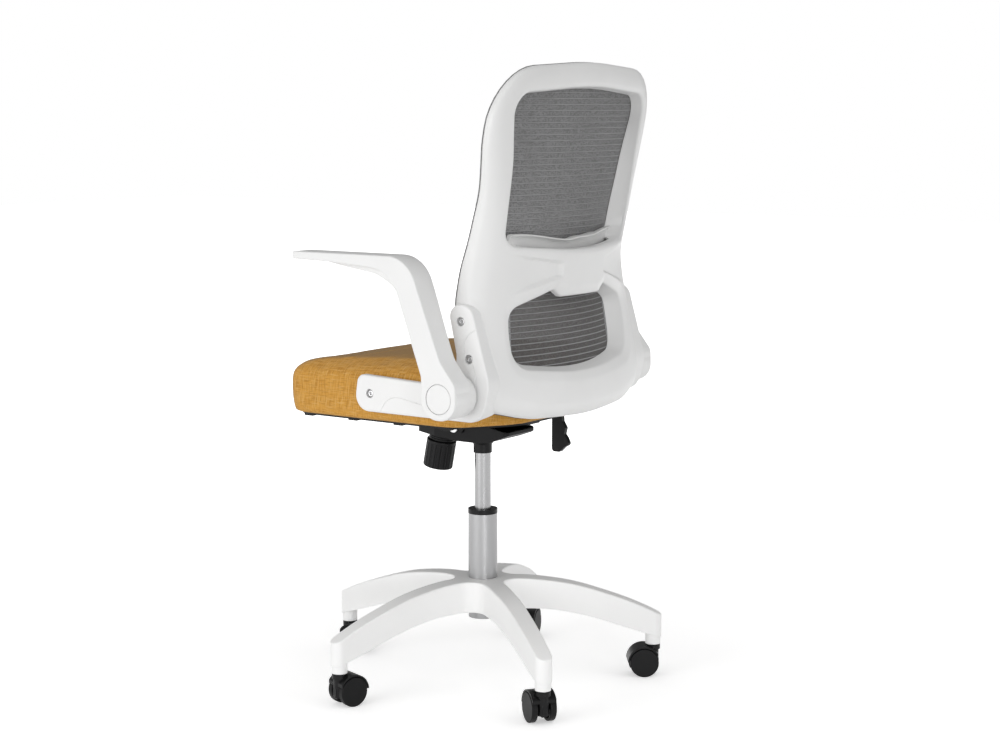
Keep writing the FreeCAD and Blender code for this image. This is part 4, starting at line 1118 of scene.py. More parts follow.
@dataclass
class BackOutlines:
    """Outlines of the back seen from behind. Corners are X, Z and radius, on the +X side."""

    bottom_z: float = 481.0
    top_z: float = 1058.0
    low_half: float = 229.0
    waist_half: float = 212.0
    high_half: float = 236.0
    corner_r: float = 90.0
    upper_mouth_corners: tuple[Corner, ...] = (
        (0.0, 757.0, 1000.0), (152.0, 770.0, 26.0), (168.0, 900.0, 300.0), (195.0, 1003.0, 33.0),
        (0.0, 1017.0, 900.0),
    )
    lower_mouth_corners: tuple[Corner, ...] = (
        (0.0, 555.0, 700.0), (154.0, 576.0, 34.0), (153.0, 628.0, 160.0), (146.0, 658.0, 28.0),
        (75.0, 688.0, 8.0), (56.0, 676.0, 6.0),
    )

    def back(self, inset: float) -> list[Pair]:
        """The shell's outer edge.

        Args:
            inset: how far it is drawn in.

        Returns:
            Its points.
        """
        return rounded_loop(both_halves([
            (0.0, self.bottom_z + inset, 900.0), (140.0 - inset, self.bottom_z + 6.0 + inset, 200.0),
            (self.low_half - inset, self.bottom_z + 28.0 + inset, 40.0 - inset * 0.5),
            (self.low_half - inset, 672.0, 150.0), (self.waist_half - inset, 752.0, 300.0),
            (self.waist_half + 1.0 - inset, 850.0, 250.0), (self.high_half - 10.0 - inset, 925.0, 150.0),
            (self.high_half - inset, self.top_z - 14.0 - inset, self.corner_r - inset),
            (0.0, self.top_z - inset, 900.0),
        ]))

    def upper_window(self, outset: float) -> list[Pair]:
        """The large opening.

        Args:
            outset: how far it is widened.

        Returns:
            Its points.
        """
        return rounded_loop(both_halves([
            (0.0, 753.0 - outset, 1000.0), (178.0 + outset, 766.0 - outset, 28.0 + outset),
            (182.0 + outset, 900.0, 300.0), (196.0 + outset, 1005.0 + outset, 34.0 + outset),
            (0.0, 1019.0 + outset, 900.0),
        ]))

    def upper_mouth(self) -> list[Pair]:
        """Where the upper window's walls meet the mesh, closing in towards the bottom."""
        return rounded_loop(both_halves(self.upper_mouth_corners))

    def lower_window(self, outset: float) -> list[Pair]:
        """The lower opening, with the crossbar's tab hanging into its top edge.

        Args:
            outset: how far it is widened.

        Returns:
            Its points.
        """
        return rounded_loop(both_halves([
            (0.0, 551.0 - outset, 700.0), (171.0 + outset, 571.0 - outset, 38.0 + outset * 0.4),
            (173.0 + outset, 625.0, 160.0), (168.0 + outset, 664.0 + outset, 30.0 + outset * 0.3),
            (75.0 - outset * 0.5, 692.0 + outset, 8.0), (56.0 - outset, 679.0 + outset, 6.0),
        ]))

    def lower_mouth(self) -> list[Pair]:
        """Where the lower window's walls meet the mesh."""
        return rounded_loop(both_halves(self.lower_mouth_corners))


class Rim(Enum):
    """The loops that bound the shell's rear face."""

    EDGE = "outer edge"
    UPPER = "upper window"
    LOWER = "lower window"


@dataclass
class BackShell:
    """White rear shell with two windows and a crossbar, as one open-fronted moulding."""

    curve: CurvedBack
    edges: BackOutlines
    wall: float = 2.8
    sharp_deg: float = 38.0
    round_width: float = 24.0
    round_depth: float = 17.0
    round_steps: int = 8
    most_edge_share: float = 0.8
    most_window_share: float = 0.7
    fine: float = 2.2
    coarse: float = 8.8
    fine_half: float = 185.0
    fine_z: Pair = (688.0, 762.0)
    mesh_gap: float = 1.0
    recess: float = 8.5
    recess_in_x: float = 60.0
    recess_out_x: float = 168.0
    recess_top_z: float = 737.0
    recess_bottom_z: float = 712.0
    recess_flank: float = 4.5
    recess_ramp: float = 7.0
    upper_side_x: Pair = (136.0, 152.0)
    upper_side_z: Pair = (800.0, 840.0)
    lower_side_x: Pair = (84.0, 112.0)
    lower_side_z: Pair = (600.0, 640.0)
    upper_rim: tuple[Pair, ...] = (
        (9.0, 0.0), (7.0, 0.15), (5.0, 0.6), (3.0, 1.5), (1.4, 2.9), (0.5, 4.6), (0.0, 7.0),
    )
    lower_rim: tuple[Pair, ...] = (
        (17.0, 0.0), (14.5, 0.35), (12.0, 1.1), (4.5, 4.9), (2.4, 6.1), (0.9, 7.8), (0.0, 10.5),
    )

    def sunk(self, x: float, z: float) -> float:
        """Depth of the wedge pressed into each half of the crossbar.

        Args:
            x: distance from the middle.
            z: height.

        Returns:
            How far the rear face lies in front of the plain curve.
        """
        reach = abs(x)
        if not self.recess_in_x - 1.0 < reach < self.recess_out_x + 30.0:
            return 0.0
        share = (reach - self.recess_in_x) / (self.recess_out_x - self.recess_in_x)
        top = self.recess_top_z + 17.0 * share
        bottom = self.recess_bottom_z - 20.0 * share - 6.0 * share * share
        inner = smoothstep(self.recess_in_x, self.recess_in_x + self.recess_ramp, reach)
        outer = 1.0 - smoothstep(self.recess_in_x + 45.0, self.recess_out_x + 18.0, reach)
        edge = smoothstep(0.0, self.recess_flank, top - z) * smoothstep(0.0, self.recess_flank, z - bottom)
        return self.recess * inner * outer * edge

    def spacing(self, spot: Pair) -> float:
        """Finer triangles on the crossbar than elsewhere."""
        on_bar = abs(spot[0]) < self.fine_half and self.fine_z[0] < spot[1] < self.fine_z[1]
        return self.fine if on_bar else self.coarse

    def walled(self, rim: Rim, x: float, z: float) -> float:
        """Tell how far a window's wall reaches to the mesh; at the lumbar pad it stays short.

        Args:
            rim: the window, or the outer edge.
            x: distance from the middle.
            z: height.

        Returns:
            0 for a wall that ends at the shell's front edge, 1 for one that reaches the mesh.
        """
        if rim is Rim.EDGE:
            return 0.0
        if rim is Rim.UPPER:
            return max(smoothstep(*self.upper_side_x, abs(x)), smoothstep(*self.upper_side_z, z))
        return max(smoothstep(*self.lower_side_x, abs(x)), 1.0 - smoothstep(*self.lower_side_z, z))

    def rounded(self, rim: Rim, loop: Sequence[Pair], depth: float) -> list[Triple]:
        """One ring of a rim's rounding.

        Args:
            rim: the rim.
            loop: the ring's points from behind.
            depth: how far it lies in front of the rear face, as a share for the outer edge.

        Returns:
            The ring's points.
        """
        ring = []
        for x, z in loop:
            rear = self.curve.rear(x, z)
            thick = rear - self.curve.front(x, z)
            if rim is Rim.EDGE:
                drop = depth * min(self.round_depth, self.most_edge_share * thick)
            else:
                drop = min(depth, self.most_window_share * thick)
            ring.append((x, rear - drop, z))
        return ring

    def wall_end(self, rim: Rim, loop: Sequence[Pair], mouth: Sequence[Pair]) -> list[Triple]:
        """The front end of a rim's wall.

        Args:
            rim: the rim.
            loop: its last ring from behind.
            mouth: where its wall meets the mesh.

        Returns:
            The end's points.
        """
        ring = []
        for (x, z), (far_x, far_z) in zip(loop, mouth):
            share = self.walled(rim, x, z)
            y = (1.0 - share) * self.curve.front(x, z)
            y += share * (self.curve.mesh(far_x, far_z) + self.mesh_gap)
            ring.append((x + share * (far_x - x), y, z + share * (far_z - z)))
        return ring

    def surface(self, name: str) -> Object:
        """The outer skin, from the front edge round the back and into both windows.

        Args:
            name: the piece's name.

        Returns:
            The skin without its wall.
        """
        edge = [(self.edges.back(self.round_width * inset), drop)
                for inset, drop in quarter_round(1.0, self.round_steps)]
        upper = [(self.edges.upper_window(outset), depth) for outset, depth in self.upper_rim]
        lower = [(self.edges.lower_window(outset), depth) for outset, depth in self.lower_rim]
        flat, faces = fill_between(edge[0][0], [upper[0][0], lower[0][0]], self.spacing)
        skin = Skin()
        skin.patch([(x, self.curve.rear(x, z) - self.sunk(x, z), z) for x, z in flat], faces)
        start = 0
        for rim, loops, mouth in ((Rim.EDGE, edge, edge[-1][0]), (Rim.UPPER, upper, self.edges.upper_mouth()),
                                  (Rim.LOWER, lower, self.edges.lower_mouth())):
            before = start
            for loop, depth in loops[1:]:
                before = skin.grow(before, self.rounded(rim, loop, depth))
            skin.grow(before, self.wall_end(rim, loops[-1][0], mouth))
            start += len(mouth)
        return skin.piece(name)

    def build(self, finishes: Finishes) -> Object:
        """Make the skin, turn it to face outwards and thicken it inwards.

        Args:
            finishes: the chair's finishes.

        Returns:
            The shell.
        """
        shell = self.surface("back_shell")
        grid = bmesh.new()
        grid.from_mesh(shell.data)
        bmesh.ops.recalc_face_normals(grid, faces=grid.faces)
        rear_most = max(grid.faces, key=lambda face: face.calc_center_median().y)
        if rear_most.normal.y < 0.0:
            bmesh.ops.reverse_faces(grid, faces=grid.faces)
        grid.to_mesh(shell.data)
        grid.free()
        shell.data.shade_smooth()
        thickened(shell, self.wall, -1.0)
        shell.data.set_sharp_from_angle(angle=math.radians(self.sharp_deg))
        return finishes.place(shell, "seat", "white_nylon", ["back_frame"])


@dataclass
class MeshBack:
    """Knitted mesh stretched over the front ring and wrapped round its outer side."""

    curve: CurvedBack
    edges: BackOutlines
    thickness: float = 0.5
    gap: float = 0.45
    spacing: float = 6.0
    sheet_inset: float = 3.0
    wrap: tuple[Pair, ...] = ((1.2, 0.2), (0.2, 0.8), (-0.3, 1.8), (-0.35, 3.0))
    sharp_deg: float = 60.0
    ring_width: float = 20.0
    ring_inset: Pair = (0.4, 0.2)
    ring_gap: Pair = (0.3, 0.2)
    strip_width: float = 9.0
    strip_rows: int = 28
    strip_z: Pair = (566.0, 672.0)
    strip_out_x: Pair = (157.0, 148.0)
    pitch: float = 9.6
    rib_radius: float = 0.8
    rib_ends: Pair = (9.0, 4.0)
    rib_steps: int = 72
    rib_sides: int = 6

    def sheet(self) -> tuple[Object, float]:
        """Make the cloth.

        Returns:
            The cloth and its area in square metres.
        """
        rim = self.edges.back(self.sheet_inset)
        flat, faces = fill_between(rim, [], lambda spot: self.spacing)
        skin = Skin()
        skin.patch([(x, self.curve.mesh(x, z) - self.gap, z) for x, z in flat], faces)
        before = 0
        for inset, back in self.wrap:
            loop = self.edges.back(inset)
            before = skin.grow(before, [(x, self.curve.mesh(x, z) - self.gap + back, z) for x, z in loop])
        cloth = skin.piece("back_mesh")
        area = sum(face.area for face in cloth.data.polygons)
        thickened(cloth, self.thickness, 0.0)
        return cleaned(cloth, self.sharp_deg), area

    def ring(self, finishes: Finishes) -> Object:
        """Make the white ring that the cloth is stretched over.

        Args:
            finishes: the chair's finishes.

        Returns:
            The ring.
        """
        front_gap, rear_gap = self.ring_gap
        front_inset, rear_inset = self.ring_inset
        skin = Skin()
        starts = []
        count = 0
        for inset, at_rear in ((front_inset, False), (rear_inset, True), (self.ring_width, True),
                               (self.ring_width, False)):
            loop = self.edges.back(inset)
            count = len(loop)
            if at_rear:
                starts.append(skin.add([(x, self.curve.front(x, z) - rear_gap, z) for x, z in loop]))
            else:
                starts.append(skin.add([(x, self.curve.mesh(x, z) + front_gap, z) for x, z in loop]))
        for first, second in zip(starts, [*starts[1:], starts[0]]):
            skin.bridge(first, second, count)
        return finishes.place(cleaned(skin.piece("mesh_ring")), "seat", "white_nylon", ["mesh_frame"])

    def edge_band(self, finishes: Finishes) -> Object:
        """Make the doubled strips of cloth that line the lower window's sides.

        Args:
            finishes: the chair's finishes.

        Returns:
            Both strips as one piece.
        """
        skin = Skin()
        rows = self.strip_rows
        (low_z, high_z), (low_x, high_x) = self.strip_z, self.strip_out_x
        for side in Side:
            points = []
            for k in range(rows + 1):
                z = low_z + (high_z - low_z) * k / rows
                outer = low_x - (low_x - high_x) * k / rows
                for x in (outer - self.strip_width, outer):
                    points.append((side.value * x, self.curve.mesh(x, z) + self.gap, z))
            quads = [(2 * k, 2 * k + 1, 2 * k + 3, 2 * k + 2) for k in range(rows)]
            skin.patch(points, quads)
        band = cleaned(thickened(skin.piece("back_mesh_edge"), self.thickness, 0.0), self.sharp_deg)
        return finishes.place(band, "seat", "mesh_cloth", finish="mesh_edge_cloth")

    def rib_tree(self) -> NodeTree:
        """Node tree that lays level ribs on a sheet by casting lines of points onto it.

        Returns:
            The tree, with its sizes in metres and the ribs' material as inputs.
        """
        tree = bpy.data.node_groups.new("mesh_ribs", "GeometryNodeTree")
        face = tree.interface
        face.new_socket("Sheet", in_out="INPUT", socket_type="NodeSocketGeometry")
        for label, default in (("Pitch", 0.0096), ("Low", 0.5), ("High", 1.05), ("Half Width", 0.24),
                               ("Radius", 0.0006), ("Cast From", 0.35)):
            face.new_socket(label, in_out="INPUT", socket_type="NodeSocketFloat").default_value = default
        face.new_socket("Material", in_out="INPUT", socket_type="NodeSocketMaterial")
        face.new_socket("Ribs", in_out="OUTPUT", socket_type="NodeSocketGeometry")
        canvas = Canvas(tree)
        start = canvas.add("NodeGroupInput").outputs
        end = canvas.add("NodeGroupOutput")
        count = canvas.math("DIVIDE", canvas.math("SUBTRACT", start["High"], start["Low"]), start["Pitch"])
        first = canvas.add("ShaderNodeCombineXYZ", None, Y=start["Cast From"], Z=start["Low"]).outputs[0]
        step = canvas.add("ShaderNodeCombineXYZ", None, Z=start["Pitch"]).outputs[0]
        rows = canvas.add("GeometryNodeMeshLine", None, Count=count, Start_Location=first, Offset=step)
        left = canvas.add("ShaderNodeCombineXYZ", None, X=canvas.math("MULTIPLY", start["Half Width"], -1.0))
        right = canvas.add("ShaderNodeCombineXYZ", None, X=start["Half Width"])
        line = canvas.add("GeometryNodeCurvePrimitiveLine", None, Start=left.outputs[0], End=right.outputs[0])
        even = canvas.add("GeometryNodeResampleCurve", None, Curve=line.outputs[0], Count=self.rib_steps)
        copies = canvas.add("GeometryNodeInstanceOnPoints", None, Points=rows.outputs[0],
                            Instance=even.outputs[0])
        loose = canvas.add("GeometryNodeRealizeInstances", None, Geometry=copies.outputs[0])
        cast = canvas.add("GeometryNodeRaycast", None, Target_Geometry=start["Sheet"],
                          Ray_Direction=(0.0, -1.0, 0.0), Ray_Length=1.0)
        missed = canvas.add("FunctionNodeBooleanMath", {"operation": "NOT"})
        canvas.feed(missed.inputs[0], cast.outputs["Is Hit"])
        mark = canvas.add("GeometryNodeCaptureAttribute", {"domain": "POINT"})
        mark.capture_items.new("BOOLEAN", "missed")
        canvas.feed(mark.inputs["Geometry"], loose.outputs[0])
        canvas.feed(mark.inputs[1], missed.outputs[0])
        laid = canvas.add("GeometryNodeSetPosition", None, Geometry=mark.outputs["Geometry"],
                          Position=cast.outputs["Hit Position"])
        kept = canvas.add("GeometryNodeDeleteGeometry", {"domain": "POINT"}, Geometry=laid.outputs[0],
                          Selection=mark.outputs[1])
        ring = canvas.add("GeometryNodeCurvePrimitiveCircle", None, Resolution=self.rib_sides,
                          Radius=start["Radius"])
        rods = canvas.add("GeometryNodeCurveToMesh", None, Curve=kept.outputs[0],
                          Profile_Curve=ring.outputs[0], Fill_Caps=True)
        whole = canvas.add("GeometryNodeRealizeInstances", None, Geometry=rods.outputs[0])
        smooth = canvas.add("GeometryNodeSetShadeSmooth", None, Geometry=whole.outputs[0])
        done = canvas.add("GeometryNodeSetMaterial", None, Geometry=smooth.outputs[0],
                          Material=start["Material"])
        canvas.feed(end.inputs["Ribs"], done.outputs[0])
        return tree

    def ribs(self, cloth: Object, material: Material) -> Object:
        """Lay the knit's level ribs on the cloth.

        Args:
            cloth: the cloth.
            material: the ribs' finish.

        Returns:
            The ribs as one piece.
        """
        holder = linked("back_mesh_ribs", cloth.data.copy())
        tree = self.rib_tree()
        modifier = modify(holder, "NODES", node_group=tree)
        above, below = self.rib_ends
        values = {
            "Pitch": self.pitch * MM, "Low": (self.edges.bottom_z + above) * MM,
            "High": (self.edges.top_z - below) * MM, "Radius": self.rib_radius * MM, "Material": material,
        }
        for item in tree.interface.items_tree:
            if item.in_out == "INPUT" and item.name in values:
                modifier[item.identifier] = values[item.name]
        return apply_modifiers(holder)

    def build(self, finishes: Finishes) -> None:
        """Make the ring, the cloth over it, its ribs and its doubled edge.

        Args:
            finishes: the chair's finishes.
        """
        ring = self.ring(finishes)
        cloth, area = self.sheet()
        dressed(cloth, finishes.by_name["mesh_cloth"])
        ribs = self.ribs(cloth, finishes.by_name["mesh_rib_yarn"])
        band = self.edge_band(finishes)
        finishes.place(cloth, "seat", "mesh_cloth", ["mesh_panel"])
        finishes.place(ribs, "seat", "mesh_cloth", finish="mesh_rib_yarn")


@dataclass
class LumbarPad:
    """Pad between the crossbar and the mesh, with a rolled lip that waves along its top."""

    curve: CurvedBack
    half_width: float = 149.0
    low_z: float = 703.0
    high_z: float = 786.0
    end_drop: float = 15.0
    wave: float = 13.0
    wave_x: Pair = (10.0, 140.0)
    mesh_gap: float = 3.2
    skin: float = 5.0
    end_share: float = 0.85
    lip: float = 6.0
    lip_radius: float = 3.0
    lip_flat: float = 0.8
    lip_steps: int = 5
    lip_roll: tuple[Pair, ...] = ((0.8, -0.8), (1.2, -2.4), (-0.4, -3.6))
    rise_steps: int = 10
    stations: int = 96
    grip_x: float = -27.0
    grip_reach: float = 42.0
    grip_rise: float = 5.0
    grip_lip: float = 12.0

    def grip(self, x: float) -> float:
        """Share of the finger grip at a distance from the middle."""
        return math.exp(-(((x - self.grip_x) / self.grip_reach) ** 6))

    def top(self, x: float) -> float:
        """Height of the pad's top edge."""
        wave = self.wave * smoothstep(*self.wave_x, abs(x))
        return self.high_z - self.end_drop + wave + self.grip_rise * self.grip(x)

    def climb(self, x: float, start_z: float, end_z: float, gap: float) -> list[Triple]:
        """Points along the mesh between two heights.

        Args:
            x: distance from the middle.
            start_z: first height.
            end_z: last height.
            gap: how far behind the mesh they lie.

        Returns:
            The points.
        """
        heights = [start_z + (end_z - start_z) * k / self.rise_steps for k in range(self.rise_steps + 1)]
        return [(x, self.curve.mesh(x, z) + gap, z) for z in heights]

    def section(self, x: float) -> list[Triple]:
        """The closed section at one distance from the middle: front, rolled lip and back.

        Args:
            x: distance from the middle.

        Returns:
            The section's points.
        """
        top = self.top(x)
        end = 1.0 - smoothstep(0.90, 1.0, abs(x) / self.half_width)
        thick = self.skin * (self.end_share + (1.0 - self.end_share) * end)
        reach = thick + self.lip + self.grip_lip * self.grip(x)
        base = self.curve.mesh(x, top) + self.mesh_gap
        points = self.climb(x, self.low_z, top - self.lip_radius, self.mesh_gap)
        for k in range(1, self.lip_steps + 1):
            angle = math.pi / 2.0 * k / self.lip_steps
            y = base + reach * (1.0 - math.cos(angle)) * self.lip_flat
            points.append((x, y, top - self.lip_radius * (1.0 - math.sin(angle))))
        points.extend((x, base + reach + out, top + up) for out, up in self.lip_roll)
        points.append((x, base + thick + 2.0, top - 4.6))
        points.extend(self.climb(x, top - 8.0, self.low_z, self.mesh_gap + thick))
        return points

    def build(self, finishes: Finishes) -> Object:
        """Make the pad as sections along X with closed ends.

        Args:
            finishes: the chair's finishes.

        Returns:
            The pad.
        """
        step = 2.0 * self.half_width / self.stations
        rings = [self.section(-self.half_width + step * k) for k in range(self.stations + 1)]
        skin = Skin()
        skin.stack(rings)
        skin.cap_ends(len(rings[0]))
        pad = cleaned(skin.piece("lumbar_support"), 50.0)
        return finishes.place(pad, "lumbar", "lumbar_nylon", ["lumbar_pad"])


@dataclass
class SideBracket:
    """L-shaped side plate whose rear flank wraps the shell's rounded corner.

    Outlines are seen from the left: Y and Z, with the radius for a corner.
    """

    side: Side
    curve: CurvedBack
    in_x: float = 229.4
    out_x: float = 240.0
    flank_x: float = 204.0
    flank_at_x: float = 226.0
    flank_before: Pair = (23.0, 13.0)
    spacing: float = 9.0
    sharp_deg: float = 30.0
    edge_r: float = 3.2
    recess_r: float = 7.5
    recess_x: float = 232.8
    recess_steps: int = 36
    head_x: float = 237.6
    groove_r: float = 0.9
    groove_out: float = 0.1
    corners: tuple[Corner, ...] = (
        (-91.0, 491.0, 26.0), (-82.0, 552.0, 14.0), (60.0, 546.0, 20.0), (124.0, 566.0, 40.0),
        (99.0, 678.0, 20.0), (146.0, 676.0, 24.0), (182.0, 550.0, 60.0), (166.0, 490.0, 34.0),
    )
    screws: tuple[Pair, ...] = ((-57.0, 521.0), (126.0, 650.0), (142.0, 591.0))
    grooves: tuple[tuple[Pair, ...], ...] = (
        ((163.0, 641.0), (150.0, 637.0), (138.0, 626.0), (132.0, 613.0), (133.0, 602.0), (137.0, 594.0)),
        ((149.0, 586.0), (154.0, 572.0), (156.0, 555.0), (154.0, 530.0), (150.0, 506.0)),
        ((-36.0, 490.0), (-29.0, 507.0), (-6.0, 521.0), (27.0, 515.0), (62.0, 509.0), (95.0, 505.0)),
    )
    head_profile: tuple[Pair, ...] = (
        (0.0, -2.6), (2.3, -2.6), (2.5, -0.2), (2.8, 0.0), (4.6, 0.0), (5.2, -0.3), (5.5, -0.9),
        (5.5, -3.4), (3.0, -3.4), (3.0, -12.0), (0.0, -12.0),
    )

    def inner_x(self, y: float, z: float) -> float:
        """How far inwards the plate reaches: to the shell's corner behind the mesh ring.

        Args:
            y: place along the plate.
            z: height.

        Returns:
            X of the inner face.
        """
        rear = self.curve.rear(self.flank_at_x, z)
        start, end = self.flank_before
        share = smoothstep(rear - start, rear - end, y)
        return self.in_x + (self.flank_x - self.in_x) * share

    def plan(self, inset: float) -> list[Pair]:
        """The outline, drawn in by a distance."""
        return drawn_in(rounded_loop(self.corners, 10, 8), inset)

    def solid(self) -> Object:
        """Make the plate with its rounded edge and screw recesses.

        Returns:
            The closed plate.
        """
        holes = [circle(y, z, self.recess_r, self.recess_steps) for y, z in self.screws]
        outer = self.plan(self.edge_r)
        flat, faces = fill_between(outer, holes, lambda spot: self.spacing)
        skin = Skin()
        skin.patch([(self.out_x, y, z) for y, z in flat], faces)
        before = 0
        for inset, drop in quarter_round(self.edge_r)[1:]:
            before = skin.grow(before, [(self.out_x - drop, y, z) for y, z in self.plan(inset)])
        inner, inner_faces = fill_between(self.plan(0.0), [], lambda spot: self.spacing)
        first = skin.add([(self.inner_x(y, z), y, z) for y, z in inner])
        skin.bridge(before, first, len(outer))
        skin.cover(first, inner_faces)
        start = len(outer)
        for (y, z), loop in zip(self.screws, holes):
            skin.sink(start, [(self.recess_x, a, b) for a, b in loop], (self.recess_x, y, z))
            start += len(loop)
        return cleaned(skin.piece(f"{self.side.label}_side_bracket", self.side.value), self.sharp_deg)

    def groove(self, line: Sequence[Pair]) -> Object:
        """Make a thin rod along a groove's path on the outer face.

        Args:
            line: the path's control points.

        Returns:
            The rod as a mesh.
        """
        curve = bpy.data.curves.new("groove", "CURVE")
        curve.dimensions = "3D"
        curve.bevel_depth = self.groove_r * MM
        curve.bevel_resolution = 1
        curve.use_fill_caps = True
        spline = curve.splines.new("NURBS")
        spline.points.add(len(line) - 1)
        for point, (y, z) in zip(spline.points, line):
            point.co = (self.side.value * (self.out_x + self.groove_out) * MM, y * MM, z * MM, 1.0)
        spline.order_u = 3
        spline.use_endpoint_u = True
        spline.resolution_u = 8
        rod = linked("groove_path", curve)
        mesh = bpy.data.meshes.new_from_object(rod.evaluated_get(bpy.context.evaluated_depsgraph_get()))
        bpy.data.objects.remove(rod)
        return linked("groove", mesh)

    def screw_heads(self, finishes: Finishes) -> Object:
        """Turn the socket screws that sit in the recesses.

        Args:
            finishes: the chair's finishes.

        Returns:
            The screws as one piece.
        """
        sign, label = self.side.value, self.side.label
        axis = Vector((sign, 0.0, 0.0))
        single = []
        for y, z in self.screws:
            single.append(lathe("head", self.head_profile, Vector((sign * self.head_x, y, z)), axis, 32))
        heads = joined(f"{label}_screw_heads", single)
        return finishes.place(heads, "seat", "bright_steel", [f"{label}_bracket_screws"])

    def build(self, finishes: Finishes) -> Object:
        """Make the plate, cut its grooves and set its screws.

        Args:
            finishes: the chair's finishes.

        Returns:
            The plate.
        """
        self.screw_heads(finishes)
        plate = self.solid()
        for line in self.grooves:
            tool = self.groove(line)
            modify(plate, "BOOLEAN", operation="DIFFERENCE", solver="EXACT", object=tool)
            apply_modifiers(plate)
            bpy.data.objects.remove(tool)
        shaded(plate, self.sharp_deg)
        return finishes.place(plate, "seat", "white_nylon", [f"{self.side.label}_bracket"])


@dataclass
class FlipArm:
    """Flip-up arm with softened edges and the round cap over its pivot.

    Outlines are seen from the left: Y, Z and radius of each corner.
    """

    side: Side
    edge_r: float = 2.4
    rib_edge_r: float = 2.0
    out_x: float = 300.0
    pad_in_x: float = 252.0
    post_in_x: float = 258.0
    slim_z: Pair = (600.0, 720.0)
    rib_set_back: float = 15.0
    rib_in_x: float = 258.0
    spacing: float = 11.0
    inner_spacing: float = 7.0
    pivot: Pair = (126.0, 533.0)
    cap_r: float = 23.4
    cap_gap: float = 0.9
    pocket_depth: float = 3.0
    pocket_steps: int = 64
    corners: tuple[Corner, ...] = (
        (-169.0, 753.0, 3.0), (-167.0, 740.5, 3.0), (-100.0, 739.0, 60.0), (-10.0, 733.0, 60.0),
        (33.0, 726.0, 54.0), (92.0, 566.0, 30.0), (92.0, 499.0, 31.0), (160.0, 499.0, 31.0),
        (158.0, 556.0, 20.0), (129.0, 592.0, 40.0), (66.0, 753.0, 58.0),
    )
    rib_corners: tuple[Corner, ...] = (
        (-134.0, 742.0, 2.5), (-70.0, 731.0, 50.0), (-8.0, 722.0, 50.0), (30.0, 703.0, 40.0),
        (50.0, 655.0, 5.0), (74.0, 660.0, 5.0), (40.0, 742.0, 40.0),
    )
    barrel_profile: tuple[Pair, ...] = (
        (0.0, 242.5), (31.0, 242.5), (33.2, 243.4), (34.0, 245.6), (34.0, 295.8), (33.2, 296.6),
        (0.0, 296.6),
    )
    cap_dome: tuple[Pair, ...] = (
        (0.0, 0.35), (8.0, 0.33), (16.0, 0.22), (21.5, 0.05), (22.8, -0.15), (23.3, -0.6),
    )

    def slab(self, corners: Sequence[Corner], outer_x: float, inner_x: Callable[[float], float],
             edge: float, pockets: Sequence[Corner] = ()) -> Object:
        """Make a plate from a side outline, rounded along both its edges.

        Args:
            corners: the outline's corners: Y, Z, radius.
            outer_x: where its outer face lies.
            inner_x: where its inner face lies at a height.
            edge: radius of its edges.
            pockets: round pockets in its outer face: Y, Z, radius.

        Returns:
            The closed plate.
        """
        base = rounded_loop(corners, 12, 10)
        holes = [circle(y, z, radius, self.pocket_steps) for y, z, radius in pockets]
        flat, faces = fill_between(drawn_in(base, edge), holes, lambda spot: self.spacing)
        skin = Skin()
        skin.patch([(outer_x, y, z) for y, z in flat], faces)
        floor_x = outer_x - self.pocket_depth
        start = len(base)
        for (y, z, _), loop in zip(pockets, holes):
            skin.sink(start, [(floor_x, a, b) for a, b in loop], (floor_x, y, z))
            start += len(loop)
        rims = quarter_round(edge)[1:]
        before = 0
        for inset, drop in rims:
            before = skin.grow(before, [(outer_x - drop, y, z) for y, z in drawn_in(base, inset)])
        for inset, drop in reversed(rims):
            before = skin.grow(before, [(inner_x(z) + drop, y, z) for y, z in drawn_in(base, inset)])
        inner, inner_faces = fill_between(drawn_in(base, edge), [], lambda spot: self.inner_spacing)
        first = skin.add([(inner_x(z), y, z) for y, z in inner])
        skin.bridge(before, first, len(base))
        skin.cover(first, inner_faces)
        return cleaned(skin.piece("slab", self.side.value), 40.0)

    def post_inner(self, z: float) -> float:
        """Inner face of the arm: wide at the pad, slimmer down the post."""
        return self.post_in_x + (self.pad_in_x - self.post_in_x) * smoothstep(*self.slim_z, z)

    def arm(self, finishes: Finishes) -> Object:
        """Make the pad with its post, the set-back rib below it and the pivot's barrel.

        Args:
            finishes: the chair's finishes.

        Returns:
            The arm as one piece.
        """
        label = self.side.label
        pocket = (*self.pivot, self.cap_r + self.cap_gap)
        main = self.slab(self.corners, self.out_x, self.post_inner, self.edge_r, [pocket])
        rib = self.slab(self.rib_corners, self.out_x - self.rib_set_back, lambda z: self.rib_in_x,
                        self.rib_edge_r)
        axis = Vector((self.side.value, 0.0, 0.0))
        barrel = lathe("barrel", self.barrel_profile, Vector((0.0, *self.pivot)), axis, 96)
        whole = joined(f"{label}_flip_arm", [main, rib, barrel])
        return finishes.place(whole, f"{label}_armrest", "white_nylon", [f"{label}_arm"])

    def cap(self, finishes: Finishes) -> Object:
        """Turn the cap, slightly domed, with a rounded rim.

        Args:
            finishes: the chair's finishes.

        Returns:
            The cap.
        """
        label, sign = self.side.label, self.side.value
        profile = [*self.cap_dome, (self.cap_r, -1.4), (self.cap_r, -4.0), (0.0, -4.0)]
        centre = Vector((sign * self.out_x, *self.pivot))
        piece = lathe(f"{label}_pivot_cover", profile, centre, Vector((sign, 0.0, 0.0)))
        return finishes.place(piece, f"{label}_armrest", "white_nylon", [f"{label}_arm_pivot_cap"])

    def build(self, finishes: Finishes) -> None:
        """Make both pieces."""
        self.arm(finishes)
        self.cap(finishes)


